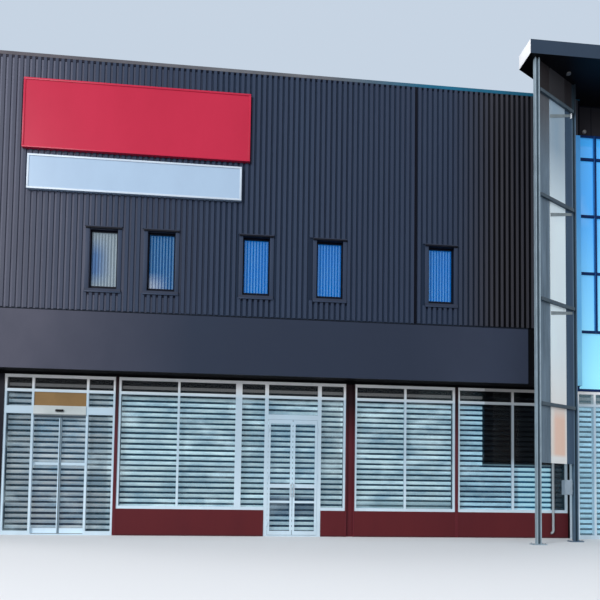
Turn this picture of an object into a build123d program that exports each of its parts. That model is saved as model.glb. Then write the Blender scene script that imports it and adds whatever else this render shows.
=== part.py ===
from build123d import *
import os
from math import hypot

os.makedirs("parts", exist_ok=True)

# Supermarket building, in millimetres: +X runs to the right along the front, +Y runs into
# the building and +Z is up. The origin is the middle of the base of the whole building.

# Widths along the front, from the left corner to the right corner
end_bay_width = 2430
corner_column_width = 200
thin_column_width = 72
slide_unit_width = 2456
middle_bay_width = 2730
wide_mullion_width = 52
door_unit_width = 2515
wide_column_width = 222
third_bay_width = 2465
porch_bay_width = 2786
porch_jamb = 120
curtain_width = 2640

swing_jamb = 87
swing_opening = 1170
slide_opening = 1158

# Levels above the ground
floor_thickness = 25
plinth_top = 610
sill_height = 70
slide_head = 2710
operator_height = 220
operator_proud = 20
sensor_width = 180
sensor_height = 45
sensor_proud = 35
side_band_bottom = 2745
side_band = 170
threshold = 90
door_head = 2745
door_band = 115
transom_level = 3243
shop_head = 3635
fascia_bottom = 3690
fascia_top = 5010
upper_floor_drop = 60
upper_floor_thickness = 300
roof_deck_drop = 750
roof_deck_thickness = 250
parapet_top = 10850
capping_height = 80

# Depths into the building, from the cladding face
building_depth = 12000
wall_thickness = 200
fascia_proud = 60
fascia_stop = 2690
capping_proud = 25
shop_recess = 450
frame_depth = 60
frame_bar = 50
frame_rail = 65
glass_thickness = 12
column_front = 430
column_depth = 160
column_flange = 30
plinth_front = 435
plinth_depth = 150
leaf_gap_behind = 12
sliding_leaf_depth = 36
shutter_front = 620
shutter_thickness = 25
soffit_back = 665
soffit_board = 60

# Upper windows
upper_sill_rise = 520
upper_width = 620
upper_height = 1375
upper_bar = 35
upper_head_bar = 52
upper_sill_bar = 85
upper_reveal = 70
upper_frame_depth = 60
drip_width = 790
drip_height = 52
drip_proud = 45
first_upper_window = 1485
upper_steps = (3535, 1280, 2150, 1710, 2670)
cladding_joint = 12200
side_windows = 3
back_windows = 5

# Door leaves
running_gap = 6
runner_gap = 0.3
slide_stile = 26
slide_midrail_level = 1581
slide_midrail = 57
slide_bottom_rail = 113
slide_overlap = 40
hanger_width = 60
track_height = 60
track_gap = 10
leaf_cover = 25
floor_gap = 10
swing_depth = 45
swing_stile = 52
swing_top_rail = 93
swing_bottom_rail = 90
swing_midrail_level = 1135
swing_midrail = 90
swing_lockrail_level = 782
swing_lockrail = 47
hinge_radius = 9
hinge_plate = 5
hinge_plate_width = 40
hinge_length = 60
hinge_levels = (300, 1400, 2500)
meeting_gap = 12

# Entrance porch, measured from its centre line and out from the cladding face
post_size = 100
post_flange = 20
front_post_out = 1260
front_post_side = 3072
rear_post_out = 508
rear_post_side = 1797
base_plate = 300
base_plate_depth = 200
base_plate_thickness = 20
roof_reach = 1410
roof_side = 3280
roof_return = 545
roof_drop = 70
roof_thickness = 320
rail_height = 76
rail_depth = 50
rail_drops = (7761, 5453, 3118, 743)
screen_bottom = 1770
screen_thickness = 34
screen_narrow = 395
screen_wide = 610
screen_seam = 40
screen_gap = 20
curtain_back = 200
curtain_depth = 120
curtain_jamb = 50
curtain_bar = 65
curtain_side_pane = 430
header_height = 760
curtain_drops = (4983, 3523, 2083, 633)
entrance_head = 3590
entrance_transom = 3215
downpipe_radius = 28
downpipe_bend = 70
downpipe_turn = 80
downpipe_bottom = 190
downpipe_side = 1840
downpipe_gap = 12
service_box_width = 180
service_box_gap = 55
service_strap = 30
service_strap_thickness = 10
service_box_depth = 150
service_box_height = 340
service_box_bottom = 1070
lamp_radius = 50
lamp_side = 1090
lamp_rise = 90

# Signs on the cladding, left without any lettering
sign_left = 3330
sign_width = 4750
sign_rise = 2690
sign_height = 790
sign_depth = 90
upper_sign_left = 3200
upper_sign_width = 5060
upper_sign_rise = 3620
upper_sign_height = 1600

# Places worked out from the widths
slide_left = wall_thickness + end_bay_width + corner_column_width
middle_left = slide_left + slide_unit_width + thin_column_width
door_left = middle_left + middle_bay_width + wide_mullion_width
third_left = door_left + door_unit_width + wide_column_width
porch_left = third_left + third_bay_width + thin_column_width
curtain_left = porch_left + porch_bay_width + porch_jamb
wing_left = curtain_left + curtain_width + porch_jamb
building_length = wing_left + porch_bay_width + wall_thickness
left_x = -building_length / 2
right_x = building_length / 2
porch_x = left_x + curtain_left + curtain_width / 2
face_y = (roof_reach - building_depth - drip_proud) / 2
back_y = face_y + building_depth
inner_y = face_y + wall_thickness
shop_y = face_y + shop_recess
glass_y = shop_y + (frame_depth - glass_thickness) / 2
curtain_y = face_y + curtain_back
wall_top = parapet_top - capping_height
column_back = face_y + column_front + column_depth
upper_floor_top = fascia_top - upper_floor_drop
upper_sill = fascia_top + upper_sill_rise
upper_top = upper_sill + upper_height
roof_deck_top = parapet_top - roof_deck_drop
roof_soffit = parapet_top - roof_drop
rail_levels = [roof_soffit - drop for drop in rail_drops]
screen_top = roof_soffit
header_bottom = roof_soffit - header_height
curtain_levels = [header_bottom - drop for drop in curtain_drops]
side_light = (door_unit_width - swing_opening) / 2 - swing_jamb


def front_plane(y):
    """Plane seen from the front: local x is X, local y is Z, and -amount goes inwards."""
    return Plane((0, y, 0), x_dir=(1, 0, 0), z_dir=(0, -1, 0))


def side_plane(x):
    """Plane seen from the right end: local x is Y, local y is Z."""
    return Plane((x, 0, 0), x_dir=(0, 1, 0), z_dir=(1, 0, 0))


def rectangle_between(u0, u1, v0, v1, mode=Mode.ADD):
    """Rectangle in the current sketch, given by its edges."""
    with Locations(((u0 + u1) / 2, (v0 + v1) / 2)):
        Rectangle(u1 - u0, v1 - v0, mode=mode)


def upper_window_centres():
    """X of each upper window of the front, with one more on the wing."""
    centre = left_x + first_upper_window
    centres = [centre]
    for step in upper_steps:
        centre += step
        centres.append(centre)
    centres.append(left_x + wing_left + porch_bay_width / 2)
    return centres


def evenly(count, start, end):
    """Middles of a number of equal parts of a wall."""
    part = (end - start) / count
    return [start + part * (number + 0.5) for number in range(count)]


front_windows = upper_window_centres()
side_window_centres = evenly(side_windows, face_y, back_y)
back_window_centres = evenly(back_windows, left_x, right_x)


def window_hole(centre):
    """Opening of one upper window in the current wall sketch."""
    rectangle_between(centre - upper_width / 2, centre + upper_width / 2,
                      upper_sill, upper_top, Mode.SUBTRACT)


# Floors and roof deck
with BuildPart() as ground_floor:
    with BuildSketch(Plane.XY):
        rectangle_between(left_x + wall_thickness, right_x - wall_thickness,
                          column_back, back_y - wall_thickness)
        rectangle_between(left_x + curtain_left, left_x + curtain_left + curtain_width,
                          curtain_y + curtain_depth, column_back)
    extrude(amount=floor_thickness)

with BuildPart() as upper_floor:
    with BuildSketch(Plane.XY.offset(upper_floor_top - upper_floor_thickness)):
        rectangle_between(left_x + wall_thickness, right_x - wall_thickness,
                          inner_y, back_y - wall_thickness)
        rectangle_between(left_x + curtain_left, left_x + curtain_left + curtain_width,
                          inner_y, curtain_y + curtain_depth, Mode.SUBTRACT)
    extrude(amount=upper_floor_thickness)

with BuildPart() as roof_deck:
    with BuildSketch(Plane.XY.offset(roof_deck_top - roof_deck_thickness)):
        rectangle_between(left_x + wall_thickness, right_x - wall_thickness,
                          inner_y, back_y - wall_thickness)
        rectangle_between(left_x + curtain_left, left_x + curtain_left + curtain_width,
                          inner_y, curtain_y + curtain_depth, Mode.SUBTRACT)
    extrude(amount=roof_deck_thickness)


def front_wall_piece(x0, x1, z0, z1):
    """Piece of the front wall with the upper windows that fall in it."""
    with BuildPart() as wall:
        with BuildSketch(front_plane(face_y)):
            rectangle_between(x0, x1, z0, z1)
            for centre in front_windows:
                if x0 < centre < x1 and z0 < upper_sill < z1:
                    window_hole(centre)
        extrude(amount=-wall_thickness)
    return wall


# Front wall: clad upper part in three lengths, and the plain wall behind the fascia band
front_cladding_left = front_wall_piece(left_x, left_x + cladding_joint, fascia_top, wall_top)
front_cladding_right = front_wall_piece(left_x + cladding_joint, left_x + curtain_left,
                                        fascia_top, wall_top)
front_cladding_wing = front_wall_piece(left_x + curtain_left + curtain_width, right_x,
                                       fascia_top, wall_top)
with BuildPart() as fascia_wall:
    with BuildSketch(front_plane(face_y)):
        rectangle_between(left_x, left_x + curtain_left, fascia_bottom, fascia_top)
        rectangle_between(left_x + curtain_left + curtain_width, right_x, fascia_bottom, fascia_top)
    extrude(amount=-wall_thickness)

fascia_end = porch_x - fascia_stop
with BuildPart() as fascia_band:
    with BuildSketch(front_plane(face_y)):
        rectangle_between(left_x, fascia_end, fascia_bottom, fascia_top)
        rectangle_between(2 * porch_x - fascia_end, right_x, fascia_bottom, fascia_top)
    extrude(amount=fascia_proud)


def side_wall(x, z0, z1, thickness_direction):
    """End wall between two levels; its windows are in the clad upper part."""
    with BuildPart() as wall:
        with BuildSketch(side_plane(x)):
            rectangle_between(inner_y, back_y - wall_thickness, z0, z1)
            if z0 < upper_sill < z1:
                for centre in side_window_centres:
                    window_hole(centre)
        extrude(amount=wall_thickness * thickness_direction)
    return wall


left_cladding = side_wall(left_x, fascia_top, wall_top, 1)
right_cladding = side_wall(right_x, fascia_top, wall_top, -1)
left_lower_wall = side_wall(left_x, 0, fascia_top, 1)
right_lower_wall = side_wall(right_x, 0, fascia_top, -1)


def back_wall(z0, z1):
    """Back wall between two levels, from corner to corner."""
    with BuildPart() as wall:
        with BuildSketch(front_plane(back_y - wall_thickness)):
            rectangle_between(left_x, right_x, z0, z1)
            if z0 < upper_sill < z1:
                for centre in back_window_centres:
                    window_hole(centre)
        extrude(amount=-wall_thickness)
    return wall


back_cladding = back_wall(fascia_top, wall_top)
back_lower_wall = back_wall(0, fascia_top)

# Parapet capping along the four walls, stopped at the porch roof
capping_inner = wall_thickness + capping_proud
with BuildPart() as parapet_capping:
    with BuildSketch(Plane.XY.offset(wall_top)):
        rectangle_between(left_x - capping_proud, left_x + curtain_left,
                          face_y - capping_proud, face_y + capping_inner)
        rectangle_between(left_x + curtain_left + curtain_width, right_x + capping_proud,
                          face_y - capping_proud, face_y + capping_inner)
        rectangle_between(left_x - capping_proud, left_x + capping_inner,
                          face_y, back_y)
        rectangle_between(right_x - capping_inner, right_x + capping_proud,
                          face_y, back_y)
        rectangle_between(left_x - capping_proud, right_x + capping_proud,
                          back_y - capping_inner, back_y + capping_proud)
    extrude(amount=capping_height)

# Soffit over the shopfront, with the strip that the frames are fixed up to
strip_back = shop_y + frame_depth
with BuildPart() as shop_soffit:
    with BuildSketch(side_plane(left_x + wall_thickness)):
        rectangle_between(inner_y, face_y + soffit_back, fascia_bottom, fascia_bottom + soffit_board)
        rectangle_between(shop_y, strip_back, shop_head, fascia_bottom)
    extrude(amount=curtain_left - wall_thickness)
    with BuildSketch(side_plane(left_x + curtain_left + curtain_width)):
        rectangle_between(inner_y, face_y + soffit_back, fascia_bottom, fascia_bottom + soffit_board)
        rectangle_between(shop_y, strip_back, shop_head, fascia_bottom)
    extrude(amount=building_length - curtain_left - curtain_width - wall_thickness)


# Burgundy steel between the shopfront units
def h_section(place, width, depth, flange):
    """Steel H section in the current plan sketch: a flange each side and the web between."""
    for side in (-1, 1):
        with Locations((place[0] + side * (width - flange) / 2, place[1])):
            Rectangle(flange, depth)
    with Locations(place):
        Rectangle(width, flange)


column_middle = face_y + column_front + column_depth / 2
with BuildPart() as columns:
    with BuildSketch(Plane.XY):
        rectangle_between(left_x + slide_left - corner_column_width, left_x + slide_left,
                          face_y + column_front, column_back)
        for column_x in (middle_left, porch_left):
            rectangle_between(left_x + column_x - thin_column_width, left_x + column_x,
                              face_y + column_front, column_back)
        h_section((left_x + third_left - wide_column_width / 2, column_middle),
                  wide_column_width, column_depth, column_flange)
    extrude(amount=shop_head)

with BuildPart() as porch_jambs:
    with BuildSketch(Plane.XY):
        for jamb_x in (curtain_left - porch_jamb, curtain_left + curtain_width):
            rectangle_between(left_x + jamb_x, left_x + jamb_x + porch_jamb,
                              inner_y, column_back)
    extrude(amount=shop_head)


# Plinths under the windows
def plinth_lengths():
    """Start and end of each plinth, leaving the two doorways clear."""
    return [
        (wall_thickness, end_bay_width),
        (middle_left, middle_bay_width + wide_mullion_width + side_light),
        (door_left + door_unit_width - side_light, side_light),
        (third_left, third_bay_width),
        (porch_left, porch_bay_width),
        (wing_left, porch_bay_width),
    ]


with BuildPart() as plinths:
    with BuildSketch(Plane.XY):
        for start, length in plinth_lengths():
            rectangle_between(left_x + start, left_x + start + length,
                              face_y + plinth_front, face_y + plinth_front + plinth_depth)
    extrude(amount=plinth_top)


# Shopfront frames
def window_frame(start, width, mullion=True):
    """Sill, head, transom, jambs and middle mullion of one bay, in the current sketch."""
    x0 = left_x + start
    x1 = x0 + width
    sill_top = plinth_top + sill_height
    rectangle_between(x0, x1, plinth_top, shop_head)
    bars = [x0, (x0 + x1) / 2, x1] if mullion else [x0, x1]
    for number in range(len(bars) - 1):
        pane_left = bars[number] + (frame_bar if number == 0 else frame_bar / 2)
        pane_right = bars[number + 1] - (frame_bar if number == len(bars) - 2 else frame_bar / 2)
        rectangle_between(pane_left, pane_right, sill_top, transom_level, Mode.SUBTRACT)
        rectangle_between(pane_left, pane_right, transom_level + frame_rail,
                          shop_head - frame_rail, Mode.SUBTRACT)


def window_glass(start, width):
    """One sheet of glass a bay, held between the frame's faces, in the current sketch."""
    x0 = left_x + start
    x1 = x0 + width
    rectangle_between(x0 + frame_bar, x1 - frame_bar, plinth_top + sill_height,
                      shop_head - frame_rail)


window_bays = {
    "end": (wall_thickness, end_bay_width),
    "middle": (middle_left, middle_bay_width),
    "third": (third_left, third_bay_width),
    "porch": (porch_left, porch_bay_width),
    "wing": (wing_left, porch_bay_width),
}
with BuildPart() as window_frames:
    with BuildSketch(front_plane(shop_y)):
        for start, width in window_bays.values():
            window_frame(start, width)
    extrude(amount=-frame_depth)
    with BuildSketch(front_plane(glass_y)):
        for start, width in window_bays.values():
            window_glass(start, width)
    extrude(amount=-glass_thickness, mode=Mode.SUBTRACT)

# Automatic sliding door: fixed frame with side lights, operator housing and blank panel
slide_x0 = left_x + slide_left
slide_x1 = slide_x0 + slide_unit_width
slide_x = (slide_x0 + slide_x1) / 2
opening_x0 = slide_x - slide_opening / 2
opening_x1 = slide_x + slide_opening / 2
operator_top = slide_head + operator_height
leaf_y = shop_y + frame_depth + leaf_gap_behind
leaf_top = slide_head + leaf_cover
track_bottom = leaf_top + track_gap
side_panes = [
    (slide_x0 + frame_bar, opening_x0 - frame_bar),
    (opening_x1 + frame_bar, slide_x1 - frame_bar),
]
with BuildPart() as slide_frame:
    with BuildSketch(front_plane(shop_y)):
        rectangle_between(slide_x0, slide_x1, 0, shop_head)
        for pane_left, pane_right in side_panes:
            rectangle_between(pane_left, pane_right, threshold, side_band_bottom, Mode.SUBTRACT)
            rectangle_between(pane_left, pane_right, side_band_bottom + side_band,
                              transom_level, Mode.SUBTRACT)
        rectangle_between(opening_x0, opening_x1, 0, transom_level, Mode.SUBTRACT)
        for pane_left, pane_right in side_panes + [(opening_x0, opening_x1)]:
            rectangle_between(pane_left, pane_right, transom_level + frame_rail,
                              shop_head - frame_rail, Mode.SUBTRACT)
        rectangle_between(opening_x0, opening_x1, slide_head, operator_top)
    extrude(amount=-frame_depth)
    with BuildSketch(front_plane(shop_y + frame_depth)):
        rectangle_between(slide_x0, slide_x1, track_bottom, track_bottom + track_height)
    extrude(amount=-(leaf_gap_behind + sliding_leaf_depth))

with BuildPart() as blank_panel:
    with BuildSketch(front_plane(shop_y + frame_depth / 4)):
        rectangle_between(opening_x0, opening_x1, operator_top, transom_level)
    extrude(amount=-frame_depth / 2)

with BuildPart() as operator_housing:
    with BuildSketch(front_plane(shop_y)):
        rectangle_between(opening_x0, opening_x1, slide_head, operator_top)
    extrude(amount=operator_proud)
    with BuildSketch(front_plane(shop_y - operator_proud)):
        with Locations((slide_x, slide_head + operator_height / 2)):
            Rectangle(sensor_width, sensor_height)
    extrude(amount=sensor_proud)

leaf_width = (slide_opening - meeting_gap) / 2 + slide_overlap
leaf_bottom = floor_thickness + floor_gap


def leaf_panes(x0, x1):
    """Glazed parts of a sliding leaf, in the current sketch."""
    low = leaf_bottom + slide_bottom_rail
    high = leaf_top - frame_rail
    middle = slide_midrail_level
    return [(x0, x1, low, middle), (x0, x1, middle + slide_midrail, high)]


def sliding_leaf(x0):
    """Sliding leaf with its two hangers, and the glass in it."""
    x1 = x0 + leaf_width
    panes = leaf_panes(x0 + slide_stile, x1 - slide_stile)
    with BuildPart() as leaf:
        with BuildSketch(front_plane(leaf_y)):
            rectangle_between(x0, x1, leaf_bottom, leaf_top)
            for pane in panes:
                rectangle_between(*pane, Mode.SUBTRACT)
            for hanger_x in (x0 + hanger_width, x1 - hanger_width):
                rectangle_between(hanger_x - hanger_width / 2, hanger_x + hanger_width / 2,
                                  leaf_top, track_bottom - runner_gap)
        extrude(amount=-sliding_leaf_depth)
    with BuildPart() as glass:
        with BuildSketch(front_plane(leaf_y + (sliding_leaf_depth - glass_thickness) / 2)):
            for pane in panes:
                rectangle_between(*pane)
        extrude(amount=-glass_thickness)
    return leaf, glass


sliding_leaf_left, sliding_glass_left = sliding_leaf(slide_x - meeting_gap / 2 - leaf_width)
sliding_leaf_right, sliding_glass_right = sliding_leaf(slide_x + meeting_gap / 2)

# Swing double door with a side light each side and glazing over it
door_x0 = left_x + door_left
door_x1 = door_x0 + door_unit_width
swing_x0 = door_x0 + side_light + swing_jamb
swing_x1 = swing_x0 + swing_opening
door_top = door_head + door_band
side_lights = [
    (door_x0 + frame_bar, door_x0 + side_light),
    (door_x1 - side_light, door_x1 - frame_bar),
]
with BuildPart() as door_frame:
    with BuildSketch(front_plane(shop_y)):
        rectangle_between(door_x0 - wide_mullion_width, door_x1, plinth_top, shop_head)
        rectangle_between(door_x0 + side_light, door_x1 - side_light, 0, plinth_top)
        rectangle_between(swing_x0, swing_x1, 0, door_head, Mode.SUBTRACT)
        for pane_left, pane_right in side_lights:
            rectangle_between(pane_left, pane_right, plinth_top + sill_height,
                              transom_level, Mode.SUBTRACT)
        rectangle_between(swing_x0, swing_x1, door_top, transom_level, Mode.SUBTRACT)
        for pane_left, pane_right in side_lights + [(swing_x0, swing_x1)]:
            rectangle_between(pane_left, pane_right, transom_level + frame_rail,
                              shop_head - frame_rail, Mode.SUBTRACT)
    extrude(amount=-frame_depth)
    with BuildSketch(front_plane(shop_y)):
        for jamb_face, side in ((swing_x0, -1), (swing_x1, 1)):
            for level in hinge_levels:
                rectangle_between(min(jamb_face, jamb_face + side * hinge_plate_width),
                                  max(jamb_face, jamb_face + side * hinge_plate_width),
                                  level - hinge_length, level)
    extrude(amount=hinge_plate)
    for jamb_face, side in ((swing_x0, -1), (swing_x1, 1)):
        for level in hinge_levels:
            with BuildSketch(Plane.XY.offset(level - hinge_length)):
                with Locations((jamb_face - side * running_gap / 2, shop_y - hinge_plate - hinge_radius)):
                    Circle(hinge_radius)
                rectangle_between(min(jamb_face, jamb_face - side * running_gap / 2),
                                  max(jamb_face, jamb_face - side * running_gap / 2),
                                  shop_y - hinge_plate - hinge_radius, shop_y - hinge_plate)
                rectangle_between(min(jamb_face, jamb_face + side * hinge_radius),
                                  max(jamb_face, jamb_face + side * hinge_radius),
                                  shop_y - hinge_plate - hinge_radius, shop_y)
            extrude(amount=hinge_length)

# Low threshold plates in the two doorways, level with the floor
with BuildPart() as thresholds:
    with BuildSketch(Plane.XY):
        rectangle_between(opening_x0, opening_x1, shop_y, shop_y + frame_depth)
        rectangle_between(swing_x0, swing_x1, shop_y, shop_y + frame_depth)
    extrude(amount=floor_thickness)

with BuildPart() as shop_glass:
    with BuildSketch(front_plane(glass_y)):
        for start, width in window_bays.values():
            window_glass(start, width)
        for pane_left, pane_right in side_panes:
            rectangle_between(pane_left, pane_right, threshold, side_band_bottom)
            rectangle_between(pane_left, pane_right, side_band_bottom + side_band, transom_level)
        for pane_left, pane_right in side_lights:
            rectangle_between(pane_left, pane_right, plinth_top + sill_height, transom_level)
        rectangle_between(swing_x0, swing_x1, door_top, transom_level)
        over_transom = side_panes + [(opening_x0, opening_x1)] + side_lights + [(swing_x0, swing_x1)]
        for pane_left, pane_right in over_transom:
            rectangle_between(pane_left, pane_right, transom_level + frame_rail,
                              shop_head - frame_rail)
    extrude(amount=-glass_thickness)

swing_width = (swing_opening - 2 * running_gap - meeting_gap) / 2
swing_top = door_head - running_gap
hinge_y = shop_y - hinge_plate - hinge_radius


def swing_leaf(jamb_face, side):
    """Swing leaf on one jamb, with its hinge knuckles; side is 1 when it runs to the right."""
    near = jamb_face + side * running_gap
    far = near + side * swing_width
    x0 = min(near, far)
    x1 = max(near, far)
    low = leaf_bottom + swing_bottom_rail
    panes = [
        (x0 + swing_stile, x1 - swing_stile, low, swing_lockrail_level),
        (x0 + swing_stile, x1 - swing_stile, swing_lockrail_level + swing_lockrail,
         swing_midrail_level),
        (x0 + swing_stile, x1 - swing_stile, swing_midrail_level + swing_midrail,
         swing_top - swing_top_rail),
    ]
    axis_x = jamb_face + side * running_gap / 2
    with BuildPart() as leaf:
        with BuildSketch(front_plane(shop_y)):
            rectangle_between(x0, x1, leaf_bottom, swing_top)
            for pane in panes:
                rectangle_between(*pane, Mode.SUBTRACT)
        extrude(amount=-swing_depth)
        for level in hinge_levels:
            with BuildSketch(Plane.XY.offset(level + runner_gap)):
                with Locations((axis_x, hinge_y)):
                    Circle(hinge_radius)
                rectangle_between(min(axis_x, axis_x + side * hinge_plate_width),
                                  max(axis_x, axis_x + side * hinge_plate_width),
                                  hinge_y, shop_y - hinge_plate)
                rectangle_between(min(near, axis_x + side * hinge_plate_width),
                                  max(near, axis_x + side * hinge_plate_width),
                                  shop_y - hinge_plate, shop_y)
            extrude(amount=hinge_length)
    with BuildPart() as glass:
        with BuildSketch(front_plane(shop_y + (swing_depth - glass_thickness) / 2)):
            for pane in panes:
                rectangle_between(*pane)
        extrude(amount=-glass_thickness)
    return leaf, glass


swing_leaf_left, swing_glass_left = swing_leaf(swing_x0, 1)
swing_leaf_right, swing_glass_right = swing_leaf(swing_x1, -1)

# Closed roller shutters behind the shopfront
shutter_bays = list(window_bays.values()) + [(slide_left, slide_unit_width), (door_left, door_unit_width)]
with BuildPart() as roller_shutters:
    with BuildSketch(Plane.XY.offset(floor_thickness)):
        for start, width in shutter_bays:
            rectangle_between(left_x + start, left_x + start + width,
                              face_y + shutter_front, face_y + shutter_front + shutter_thickness)
    extrude(amount=fascia_bottom - floor_thickness)
    with BuildSketch(Plane.XY.offset(floor_thickness)):
        rectangle_between(left_x + curtain_left, left_x + curtain_left + curtain_width,
                          curtain_y + curtain_depth, curtain_y + curtain_depth + shutter_thickness)
    extrude(amount=entrance_head - floor_thickness)


# Upper windows: frame, glass and drips, one set for each wall
def upper_frame_sketch(centre):
    """Frame of one upper window, in the current wall sketch."""
    x0 = centre - upper_width / 2
    x1 = centre + upper_width / 2
    rectangle_between(x0, x1, upper_sill, upper_top)
    rectangle_between(x0 + upper_bar, x1 - upper_bar, upper_sill + upper_sill_bar,
                      upper_top - upper_head_bar, Mode.SUBTRACT)


def upper_glass_sketch(centre):
    """Glass of one upper window, in the current wall sketch."""
    rectangle_between(centre - upper_width / 2 + upper_bar, centre + upper_width / 2 - upper_bar,
                      upper_sill + upper_sill_bar, upper_top - upper_head_bar)


def drip_sketch(centre):
    """Drip over and sill under one upper window, in the current wall sketch."""
    x0 = centre - drip_width / 2
    x1 = centre + drip_width / 2
    rectangle_between(x0, x1, upper_top, upper_top + drip_height)
    rectangle_between(x0, x1, upper_sill - drip_height, upper_sill)


wall_sets = {
    "front": (front_plane(face_y), front_windows, -1),
    "left": (side_plane(left_x), side_window_centres, 1),
    "right": (side_plane(right_x), side_window_centres, -1),
    "back": (front_plane(back_y), back_window_centres, 1),
}
with BuildPart() as upper_window_frames:
    for plane, centres, inwards in wall_sets.values():
        with BuildSketch(plane.offset(inwards * upper_reveal)):
            for centre in centres:
                upper_frame_sketch(centre)
        extrude(amount=inwards * upper_frame_depth)

with BuildPart() as upper_window_glass:
    for plane, centres, inwards in wall_sets.values():
        inset = upper_reveal + (upper_frame_depth - glass_thickness) / 2
        with BuildSketch(plane.offset(inwards * inset)):
            for centre in centres:
                upper_glass_sketch(centre)
        extrude(amount=inwards * glass_thickness)

with BuildPart() as upper_window_drips:
    for plane, centres, inwards in wall_sets.values():
        with BuildSketch(plane):
            for centre in centres:
                drip_sketch(centre)
        extrude(amount=-inwards * drip_proud)

# Blank sign trays on the cladding
with BuildPart() as pale_sign:
    with BuildSketch(front_plane(face_y)):
        rectangle_between(left_x + sign_left, left_x + sign_left + sign_width,
                          fascia_top + sign_rise, fascia_top + sign_rise + sign_height)
    extrude(amount=sign_depth)

upper_sign_bottom = fascia_top + upper_sign_rise
with BuildPart() as red_sign:
    with BuildSketch(front_plane(face_y)):
        rectangle_between(left_x + upper_sign_left, left_x + upper_sign_left + upper_sign_width,
                          upper_sign_bottom, upper_sign_bottom + upper_sign_height)
    extrude(amount=sign_depth)


# Entrance porch
post_places = []
for side in (-1, 1):
    post_places.append((porch_x + side * front_post_side, face_y - front_post_out))
    post_places.append((porch_x + side * rear_post_side, face_y - rear_post_out))

with BuildPart() as porch_posts:
    with BuildSketch(Plane.XY):
        for place in post_places:
            with Locations(place):
                Rectangle(base_plate, base_plate_depth)
    extrude(amount=base_plate_thickness)
    with BuildSketch(Plane.XY.offset(base_plate_thickness)):
        for place in post_places:
            h_section(place, post_size, post_size, post_flange)
    extrude(amount=roof_soffit - base_plate_thickness)

screen_run = front_post_side - rear_post_side
screen_rise = front_post_out - rear_post_out
screen_length = hypot(screen_run, screen_rise)
screen_cosine = screen_run / screen_length
screen_sine = screen_rise / screen_length
screen_clear = (post_size + screen_thickness * screen_sine) / 2 / screen_cosine + runner_gap
screen_start = screen_clear
screen_end = screen_length - screen_clear
rail_clear = post_size / 2 * (screen_cosine + screen_sine) + runner_gap


def screen_frame(side):
    """Plane in plan at the front post, with local x running to the rear post."""
    origin = (porch_x + side * front_post_side, face_y - front_post_out, 0)
    direction = Vector(-side * screen_run, screen_rise, 0)
    return Plane(origin, x_dir=direction, z_dir=(0, 0, 1))


def screen_part(start, end, low, high, near, far):
    """The same upright panel on both sides of the porch, near to far from the screen line."""
    with BuildPart() as panels:
        for side in (-1, 1):
            plane = screen_frame(side)
            with BuildSketch(plane.offset(low)):
                rectangle_between(start, end, min(side * near, side * far), max(side * near, side * far))
            extrude(amount=high - low)
    return panels


screen_split = screen_start + screen_narrow
wide_start = screen_split + screen_seam
wide_end = wide_start + screen_wide
narrow_screens = screen_part(screen_start, screen_split, screen_bottom, screen_top,
                             -screen_thickness / 2, screen_thickness / 2)
wide_screens = screen_part(wide_start, wide_end, screen_bottom, screen_top,
                           -screen_thickness / 2, screen_thickness / 2)
edge_screens = screen_part(wide_end + screen_gap, screen_end, screen_bottom, screen_top,
                           -screen_thickness / 2, screen_thickness / 2)

with BuildPart() as screen_rails:
    for side in (-1, 1):
        plane = screen_frame(side)
        for level in rail_levels:
            near = screen_thickness / 2
            far = near + rail_depth
            with BuildSketch(plane.offset(level)):
                rectangle_between(rail_clear, screen_length - rail_clear,
                                  min(side * near, side * far), max(side * near, side * far))
            extrude(amount=rail_height)

# Porch roof: a flat slab with square front corners and splayed sides
splay_run = (roof_reach - roof_return) * screen_run / screen_rise
with BuildPart() as porch_roof:
    with BuildSketch(Plane.XY.offset(roof_soffit)):
        with BuildLine():
            Polyline(
                (porch_x - roof_side, face_y - roof_reach),
                (porch_x + roof_side, face_y - roof_reach),
                (porch_x + roof_side, face_y - roof_reach + roof_return),
                (porch_x + roof_side - splay_run, face_y - capping_proud),
                (porch_x + curtain_width / 2, face_y - capping_proud),
                (porch_x + curtain_width / 2, curtain_y + curtain_depth),
                (porch_x - curtain_width / 2, curtain_y + curtain_depth),
                (porch_x - curtain_width / 2, face_y - capping_proud),
                (porch_x - roof_side + splay_run, face_y - capping_proud),
                (porch_x - roof_side, face_y - roof_reach + roof_return),
                close=True,
            )
        make_face()
    extrude(amount=roof_thickness)

# Curtain wall of the porch, its header panels and the glazed entrance under it
curtain_x0 = left_x + curtain_left
curtain_x1 = curtain_x0 + curtain_width
curtain_columns = [
    (curtain_x0 + curtain_jamb, curtain_x0 + curtain_jamb + curtain_side_pane),
    (curtain_x0 + curtain_jamb + curtain_side_pane + curtain_bar,
     curtain_x1 - curtain_jamb - curtain_side_pane - curtain_bar),
    (curtain_x1 - curtain_jamb - curtain_side_pane, curtain_x1 - curtain_jamb),
]
entrance_columns = [
    (curtain_x0 + curtain_jamb, curtain_x0 + curtain_jamb + curtain_side_pane - frame_bar),
    (curtain_x0 + curtain_jamb + curtain_side_pane,
     curtain_x1 - curtain_jamb - curtain_side_pane),
    (curtain_x1 - curtain_jamb - curtain_side_pane + frame_bar, curtain_x1 - curtain_jamb),
]
curtain_rows = []
row_bottom = curtain_levels[0] + curtain_bar
for level in curtain_levels[1:] + [header_bottom]:
    curtain_rows.append((row_bottom, level))
    row_bottom = level + curtain_bar

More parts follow.
